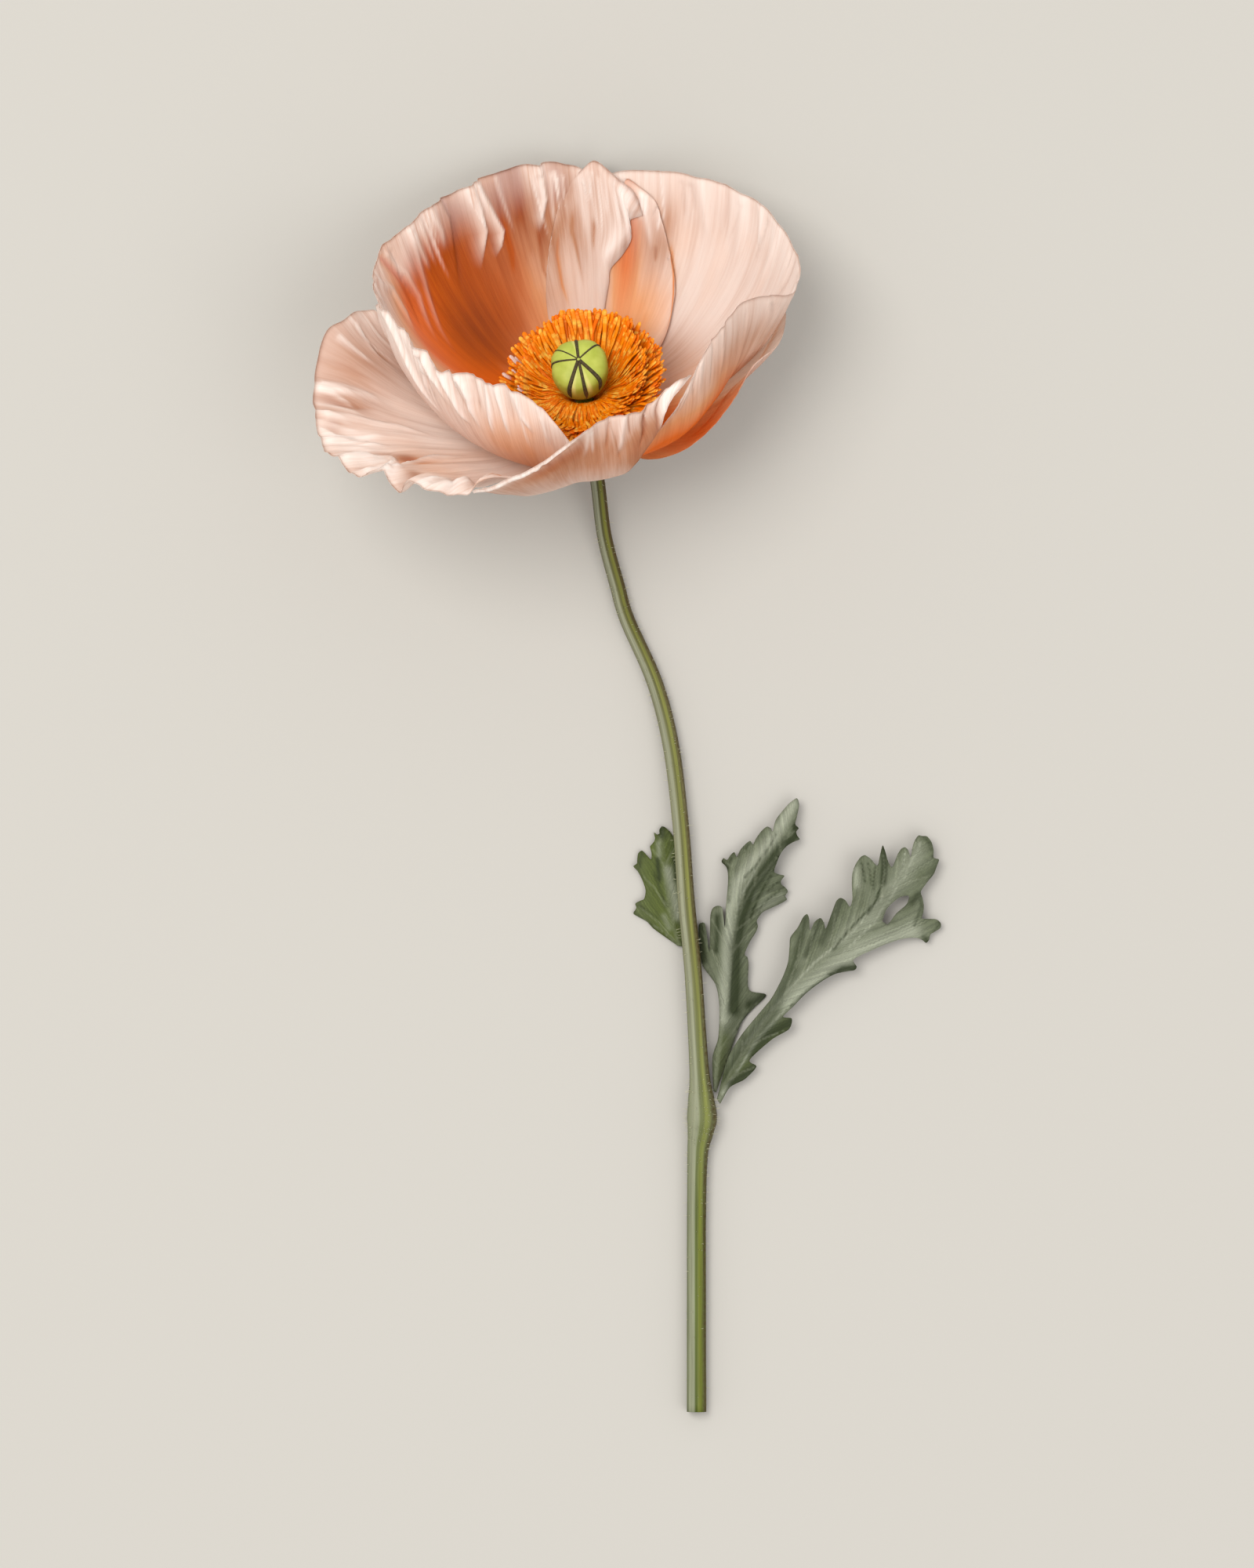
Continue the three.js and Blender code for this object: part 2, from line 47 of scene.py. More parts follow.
# ---- Camera and picture
PICTURE_HEIGHT = 320.0  # mm of the floor that the picture's height covers
LENS = 250.0
SENSOR = 36.0

# ---- Flower head: angle round its axis, radius from it, height along it. The axis, and the heights
# ---- at which the petals, the disc and what stands on it are seated, are the CAD model's.
HEAD_CENTRE = np.array([-8.4, 75.6, 21.2])
HEAD_ELEVATION = 40.0
HEAD_LEAN = 8.0
PETAL_LAYER = 1.1
PETAL_ROOT = 2.35
REST_HEIGHT = 2.2
REST_SOFTNESS = 2.0
DISC_TOP = 1.7
SEAT_GAP = 0.3  # between the disc and what stands on it
PETAL_THICKNESS = 0.24
PETAL_EDGE = 0.9  # mm in from the margin over which a petal grows less see-through
PETAL_GRAIN = 0.42  # mm from one column of a petal's mesh to the next
PETAL_GLOW = 0.3  # share of the light that passes through a petal
OUTER_PETAL_GLOW = 0.72  # the same for the outer right petal, which has light behind it
PETAL_ROWS = 120
NARROWEST_GRID = 26  # mm that even a narrow petal's columns are counted for
CORNER_DROP = 0.12  # how much shorter a petal is at its corners than in its middle
PETAL_LENGTH = 54.0  # mm along the wall of the bowl
MM_PER_DEGREE = 0.7  # mm round the wall of the bowl, about half way up

elevation = math.radians(HEAD_ELEVATION)
lean = math.radians(HEAD_LEAN)
flower_axis = np.array([
    -math.sin(lean) * math.cos(elevation),
    math.cos(lean) * math.cos(elevation),
    math.sin(elevation),
])
flower_right = np.array([math.cos(lean), math.sin(lean), 0.0])
flower_back = np.cross(flower_axis, flower_right)


# ---- Small helpers
def mix(a, b, t):
    return a + (b - a) * t


def smoothstep(low, high, x):
    t = np.clip((x - low) / (high - low), 0, 1)
    return t * t * (3 - 2 * t)


def bump_at(x, centre, width):
    return np.exp(-(((x - centre) / width) ** 2))


def unit(v):
    return v / np.maximum(np.linalg.norm(v, axis=-1, keepdims=True), 1e-9)


def colour(red, green, blue):
    """A linear colour from its sRGB values, 0 to 255."""
    def linear(c):
        c /= 255
        return c / 12.92 if c <= 0.04045 else ((c + 0.055) / 1.055) ** 2.4
    return (linear(red), linear(green), linear(blue), 1.0)


def soft_noise(u, v, seed):
    """Smooth noise from -1 to 1 with features one unit wide, the same for the same seed."""
    size = 64
    table = np.random.default_rng(seed).uniform(-1, 1, (size, size))
    iu = np.floor(u).astype(int)
    iv = np.floor(v).astype(int)
    fu = smoothstep(0, 1, u - iu)
    fv = smoothstep(0, 1, v - iv)
    low = mix(table[iu % size, iv % size], table[(iu + 1) % size, iv % size], fu)
    high = mix(table[iu % size, (iv + 1) % size], table[(iu + 1) % size, (iv + 1) % size], fu)
    return mix(low, high, fv)


def rough_noise(u, v, seed, octaves=3):
    total = np.zeros(np.broadcast(u, v).shape)
    for octave in range(octaves):
        total += soft_noise(u * 2**octave, v * 2**octave, seed + octave) / 2**octave
    return total


def hermite(start, end, slope_start, slope_end, t):
    t2 = t * t
    t3 = t2 * t
    return (
        (2 * t3 - 3 * t2 + 1) * start + (t3 - 2 * t2 + t) * slope_start
        + (3 * t2 - 2 * t3) * end + (t3 - t2) * slope_end
    )


def smooth_rows(table, x):
    """The values of a table's columns at x, on smooth curves through its rows."""
    table = np.asarray(table, float)
    keys = table[:, 0]
    last = len(keys) - 1
    x = np.asarray(x, float)
    i = np.clip(np.searchsorted(keys, x) - 1, 0, last - 1)
    before = np.maximum(i - 1, 0)
    after = np.minimum(i + 2, last)
    span = keys[i + 1] - keys[i]
    t = np.clip((x - keys[i]) / span, 0, 1)
    columns = []
    for k in range(1, table.shape[1]):
        y = table[:, k]
        slope_start = (y[i + 1] - y[before]) / (keys[i + 1] - keys[before])
        slope_end = (y[after] - y[i]) / (keys[after] - keys[i])
        columns.append(hermite(y[i], y[i + 1], slope_start * span, slope_end * span, t))
    return columns


def three_values(values, t):
    start, middle, end = values
    return start * (1 - t) * (1 - 2 * t) + 4 * middle * t * (1 - t) + end * t * (2 * t - 1)


def cubic_bezier(a, b, c, d, t):
    s = 1 - t
    return s**3 * a + 3 * s * s * t * b + 3 * s * t * t * c + t**3 * d


def in_flower(angle, radius, height):
    angle = np.radians(np.asarray(angle, float))[..., None]
    radius = np.asarray(radius, float)[..., None]
    height = np.asarray(height, float)[..., None]
    across = radius * (np.cos(angle) * flower_right + np.sin(angle) * flower_back)
    return HEAD_CENTRE + across + height * flower_axis


def smooth_line(points, steps):
    """Points on a smooth curve through the rows, with this many steps between two rows."""
    points = np.asarray(points, float)
    rows = np.column_stack([np.arange(len(points)), points])
    x = np.linspace(0, len(points) - 1, (len(points) - 1) * steps + 1)
    return np.stack(smooth_rows(rows, x), axis=-1)


# ---- Materials
class Shader:
    """A material whose nodes are added one call at a time."""

    def __init__(self, name):
        self.material = bpy.data.materials.new(name)
        self.material.use_nodes = True
        self.tree = self.material.node_tree
        self.tree.nodes.clear()

    def node(self, kind, sockets, **settings):
        node = self.tree.nodes.new(kind)
        for key, value in settings.items():
            setattr(node, key, value)
        for key, value in sockets.items():
            if isinstance(value, bpy.types.NodeSocket):
                self.tree.links.new(value, node.inputs[key])
            else:
                node.inputs[key].default_value = value
        return node

    def attribute(self, name):
        return self.node("ShaderNodeAttribute", {}, attribute_name=name).outputs["Fac"]

    def sheet(self, scale):
        """The place on the piece's own surface, in units that make the noise as wide as it should be."""
        place = self.node("ShaderNodeAttribute", {}, attribute_name="sheet").outputs["Vector"]
        return self.scaled(place, scale)

    def scaled(self, vector, scale):
        return self.node("ShaderNodeMapping", {"Vector": vector, "Scale": scale}).outputs["Vector"]

    def in_space(self, scale):
        """The place in the piece's own space, in metres times the scale."""
        return self.scaled(self.node("ShaderNodeTexCoord", {}).outputs["Object"], (scale, scale, scale))

    def noise(self, vector, detail=2.0, roughness=0.5):
        sockets = {"Vector": vector, "Scale": 1.0, "Detail": detail, "Roughness": roughness}
        return self.node("ShaderNodeTexNoise", sockets).outputs["Fac"]

    def math(self, operation, a, b):
        return self.node("ShaderNodeMath", {0: a, 1: b}, operation=operation).outputs[0]

    def between(self, x, low, high, to_low=0.0, to_high=1.0):
        sockets = {"Value": x, "From Min": low, "From Max": high, "To Min": to_low, "To Max": to_high}
        return self.node("ShaderNodeMapRange", sockets, clamp=True).outputs["Result"]

    def times(self, a, b):
        return self.math("MULTIPLY", a, b)

    def blend(self, factor, a, b, how="MIX"):
        node = self.node("ShaderNodeMix", {0: factor, 6: a, 7: b}, data_type="RGBA", blend_type=how)
        return node.outputs[2]

    def shaded(self, base, shade):
        grey = self.node("ShaderNodeCombineColor", {0: shade, 1: shade, 2: shade}).outputs[0]
        return self.blend(1.0, base, grey, "MULTIPLY")

    def bump(self, height, distance, strength):
        sockets = {"Height": height, "Distance": distance * MM, "Strength": strength}
        return self.node("ShaderNodeBump", sockets).outputs["Normal"]

    def finish(self, sockets, glow=None):
        """Ends in a principled shader, with this share of the light passing through the piece."""
        surface = self.node("ShaderNodeBsdfPrincipled", sockets).outputs[0]
        if glow is not None:
            through = {"Color": sockets["Base Color"]}
            if "Normal" in sockets:
                through["Normal"] = sockets["Normal"]
            translucent = self.node("ShaderNodeBsdfTranslucent", through).outputs[0]
            surface = self.node("ShaderNodeMixShader", {0: glow, 1: surface, 2: translucent}).outputs[0]
        self.node("ShaderNodeOutputMaterial", {"Surface": surface})
        return self.material


# ---- Meshes
def add_piece(name, points, faces, material, slot, replaced=(), smooth=0, **attributes):
    """A piece of the poppy from points in millimetres, with values that its material reads.

    Faces past the number smooth, which are a thin sheet's edge, are flat.
    """
    mesh = bpy.data.meshes.new(name)
    mesh.from_pydata((np.asarray(points) * MM).tolist(), [], faces)
    mesh.polygons.foreach_set("use_smooth", np.arange(len(faces)) < (smooth or len(faces)))
    for key, values in attributes.items():
        values = np.asarray(values, float)
        if values.ndim == 1:
            mesh.attributes.new(key, "FLOAT", "POINT").data.foreach_set("value", values)
        else:
            mesh.attributes.new(key, "FLOAT_VECTOR", "POINT").data.foreach_set("vector", values.ravel())
    mesh.materials.append(material)
    mesh.update()
    piece = bpy.data.objects.new(name, mesh)
    bpy.context.scene.collection.objects.link(piece)
    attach(piece, "root")
    if replaced:
        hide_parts(*replaced)
    return piece


def grid_faces(rows, columns, start=0, flipped=False):
    i, j = np.meshgrid(np.arange(rows - 1), np.arange(columns - 1), indexing="ij")
    a = (start + i * columns + j).ravel()
    quads = np.stack([a, a + 1, a + columns + 1, a + columns], axis=1)
    return (quads[:, ::-1] if flipped else quads).tolist()


def closed_sheet(middle, thickness):
    """A thin closed sheet round a grid of points: its points, outer side first, and its faces."""
    across = np.gradient(middle, axis=1)
    along = np.gradient(middle, axis=0)
    normal = unit(np.cross(across, along))
    half = (np.asarray(thickness) / 2)[..., None] * normal
    rows, columns = middle.shape[:2]
    count = rows * columns
    points = np.concatenate([(middle + half).reshape(-1, 3), (middle - half).reshape(-1, 3)])
    faces = grid_faces(rows, columns) + grid_faces(rows, columns, count, flipped=True)
    bottom = np.arange(columns)
    top = bottom + (rows - 1) * columns
    right = np.arange(rows) * columns
    left = right + columns - 1
    for border in (bottom[::-1], top, right, left[::-1]):
        for a, b in zip(border[:-1].tolist(), border[1:].tolist()):
            faces.append([b, a, a + count, b + count])
    return points, faces


def ring_faces(rows, sides):
    """The faces of a tube of rings, whose last two points are the middles of its ends."""
    faces = []
    for i in range(rows - 1):
        for k in range(sides):
            a = i * sides + k
            b = i * sides + (k + 1) % sides
            faces.append([a, b, b + sides, a + sides])
    start = rows * sides
    for k in range(sides):
        following = (k + 1) % sides
        faces.append([start, following, k])
        faces.append([start + 1, start - sides + k, start - sides + following])
    return faces


def tube(middle, radii, sides, squash=1.0, up=(0.0, 0.0, 1.0)):
    """A closed tube with flat ends round a line of points: its points and faces."""
    direction = unit(np.gradient(middle, axis=0))
    sideways = unit(np.cross(direction, np.asarray(up)))
    other = np.cross(sideways, direction)
    turn = 2 * np.pi * np.arange(sides) / sides
    radii = np.asarray(radii)
    if radii.ndim == 1:
        radii = radii[:, None] * np.ones(sides)
    ring = sideways[:, None] * (radii * np.cos(turn))[..., None]
    ring += other[:, None] * (radii * np.sin(turn) * squash)[..., None]
    points = np.concatenate([(middle[:, None] + ring).reshape(-1, 3), middle[:1], middle[-1:]])
    return points, ring_faces(len(middle), sides)


class Gathered:
    """Several closed meshes in one piece."""

    def __init__(self):
        self.points = []
        self.faces = []
        self.values = {}
        self.count = 0

    def add(self, points, faces, **values):
        self.faces += [[v + self.count for v in face] for face in faces]
        self.points.append(points)
        for key, value in values.items():
            value = np.asarray(value, float)
            if value.ndim == 0:
                value = np.full(len(points), float(value))
            self.values.setdefault(key, []).append(value)
        self.count += len(points)

    def make(self, name, material, slot, replaced=()):
        values = {key: np.concatenate(parts) for key, parts in self.values.items()}
        return add_piece(name, np.concatenate(self.points), self.faces, material, slot, replaced, **values)


# ---- Petals
# The rim of the bowl that the petals share: angle, radius, height, then how full the wall is low
# down and high up, as parts of that radius. It is the CAD model's, and so are the rows of PETALS,
# apart from some layers and reaches of the back centre, right and outer right petals.
BOWL_RIM = [
    [0, 44, 24.5, 0.5, 0.8], [30, 46, 26.5, 0.62, 0.93], [60, 43.5, 28, 0.62, 0.94],
    [90, 43, 28, 0.62, 0.94], [120, 42.5, 27.5, 0.62, 0.94], [150, 41.5, 27.5, 0.62, 0.94],
    [172, 37, 30, 0.65, 0.94], [200, 33, 31, 0.7, 0.95], [225, 30, 31, 0.77, 0.97], [255, 26, 25, 0.9, 1],
    [290, 25, 21.5, 0.94, 1], [315, 29.5, 27, 0.92, 1], [338, 33.5, 30.5, 0.78, 0.95],
    [349, 38, 29, 0.62, 0.85],
]
BOWL_TURN = [[row[0] + turn] + row[1:] for turn in (-360, 0, 360) for row in BOWL_RIM]
BOWL_RADIUS = 44

# Each petal: the angles of its right and left margins at the root, half way and at the rim, then
# rows round its rim of angle, layer in the bowl, reach along the wall, and mm that it stands out and
# up there.
PETALS = [
    {
        "name": "petal_back_centre", "right": [68, 76, 66], "left": [104, 101, 91],
        "rim": [
            [66, 0, 0.93, 0, 0], [71, 0, 0.95, 0, 0], [78, 0.4, 1.03, 0, 0], [82, 0.7, 0.995, 0, 0],
            [86, 1, 0.945, 0, 0], [91, 1.1, 0.88, 0, 0],
        ],
    },
    {
        "name": "petal_back_left", "right": [95, 84, 76], "left": [176, 176, 172],
        "rim": [
            [76, 1.15, 1.05, 0, 0], [92, 1.15, 1.04, 0, 0], [108, 2, 1.04, 0, 0], [125, 2, 1.02, 0, 0],
            [150, 2, 1, 0.5, 0], [165, 1, 0.99, 0, 0], [172, 1, 0.98, 0, 0],
        ],
    },
    {
        "name": "petal_back_strip", "right": [36, 46, 60], "left": [84, 80, 72],
        "rim": [[60, 1, 0.86, 0, 0], [72, 1, 0.98, 0, 0]],
    },
    {
        "name": "petal_right", "right": [-68, -67, -50], "left": [84, 92, 86],
        "rim": [
            [-50, 1.6, 0.96, 0, -1], [-38, 1.4, 1, 0, -1], [-20, 1.2, 1, 0, 0], [-10, 1.4, 1, 0, 0],
            [6, 2, 1, 0, 0], [24, 2, 1, 0, 0], [47, 2, 1, 0, 0], [86, 2, 1, 0, 0],
        ],
    },
    {
        "name": "petal_left_wall", "right": [186, 178, 172], "left": [262, 264, 262],
        "rim": [
            [172, 2, 1.08, 0, 0], [185, 2, 1.09, 0, 0], [198, 2, 1.06, 0, 0], [208, 2, 1, 0, 0],
            [225, 2, 1, 0, 0], [245, 2, 1, 0, 0], [262, 2, 0.95, 0, -2],
        ],
    },
    {
        "name": "petal_left_spread", "right": [170, 166, 160], "left": [250, 244, 250],
        "rim": [
            [160, 3, 1, 0, 2], [170, 3, 1, 6, -2], [180, 3, 1, 14.5, -7.5], [190, 3, 1, 19, -11],
            [200, 3, 1, 21.5, -14], [212, 3, 1, 20, -15], [222, 3, 1, 18.5, -15], [229, 3, 1, 17.5, -15],
            [234, 3, 1, 12.6, -14], [240, 3, 0.96, 8, -12], [246, 3, 0.94, 5, -9], [250, 3, 0.93, 3.5, -7],
        ],
    },
    {
        "name": "petal_right_outer", "right": [-64, -47, -8], "left": [58, 55, 40],
        "rim": [[-8, 3.9, 0.79, 0.4, 0], [15, 3.8, 0.79, 0.2, 0], [40, 3.3, 0.75, 0, 0]],
    },
    {
        "name": "petal_front", "right": [238, 238, 236], "left": [285, 285, 316],
        "rim": [
            [236, 5.9, 1, 11, -5.2], [242, 5.9, 1, 10.8, -6.9], [252, 5.4, 1, 8.6, -4.9],
            [264, 4.7, 1, 3.9, -2.4], [276, 4, 1, 0, -2.5], [290, 4, 1, 0, -2], [300, 4, 1, 0, -2],
            [308, 4, 1.02, 0, -1], [316, 4, 1.09, 0, 0],
        ],
    },
]


def bowl_wall(angle, along):
    """Radius and height of the bowl's wall at an angle, from the root (0) to the rim (1)."""
    radius, height, low, high = smooth_rows(BOWL_TURN, angle)
    return (
        cubic_bezier(PETAL_ROOT, low * radius, high * radius, radius, along),
        cubic_bezier(0, -0.06 * height, 0.3 * height, height, along),
    )


def on_surface(z):
    """A height that never goes below the resting height, with a soft bend into it."""
    return REST_HEIGHT + REST_SOFTNESS * np.logaddexp(0, (z - REST_HEIGHT) / REST_SOFTNESS)


class Petal:
    """One petal's smooth shape: points and directions on a grid of places across and along it."""

    def __init__(self, row):
        self.row = row
        width = math.radians(abs(row["left"][2] - row["right"][2])) * BOWL_RADIUS
        columns = int(max(width, NARROWEST_GRID) / PETAL_GRAIN) + 1
        self.across, self.along = np.meshgrid(np.linspace(0, 1, columns), np.linspace(0, 1, PETAL_ROWS))
        self.rim_angle = mix(row["right"][2], row["left"][2], self.across)
        self.angle = self.angle_at(self.along)
        self.layer, self.reach, self.out, self.up = smooth_rows(row["rim"], self.rim_angle)
        self.reach = self.reach * (1 - CORNER_DROP * np.abs(2 * self.across - 1) ** 7)

    def angle_at(self, along):
        right, left = (three_values(self.row[side], along) for side in ("right", "left"))
        return mix(right, left, self.across)

    def wall(self, aside, along, reach):
        radius, height = bowl_wall(self.angle_at(along) + aside, along * reach)
        out, up = self.out * along**3, self.up * along**3
        point = in_flower(self.angle_at(along) + aside, radius + out, height + up)
        point[..., 2] = on_surface(point[..., 2])
        return point

    def surface(self, longer, turned):
        """The middle of the petal, with its outward, upward and round directions."""
        reach = self.reach + longer
        step = 0.02
        below = np.maximum(self.along - step, 0)
        rising = self.wall(turned, self.along + step, reach) - self.wall(turned, below, reach)
        round_wall = self.wall(turned + 1, self.along, reach) - self.wall(turned - 1, self.along, reach)
        outwards = unit(np.cross(round_wall, rising))
        apart = PETAL_LAYER * mix(0.3, 1.0, smoothstep(0.0, 0.4, self.along))
        point = self.wall(turned, self.along, reach) + outwards * (self.layer * apart)[..., None]
        return point, outwards, unit(rising), unit(round_wall)


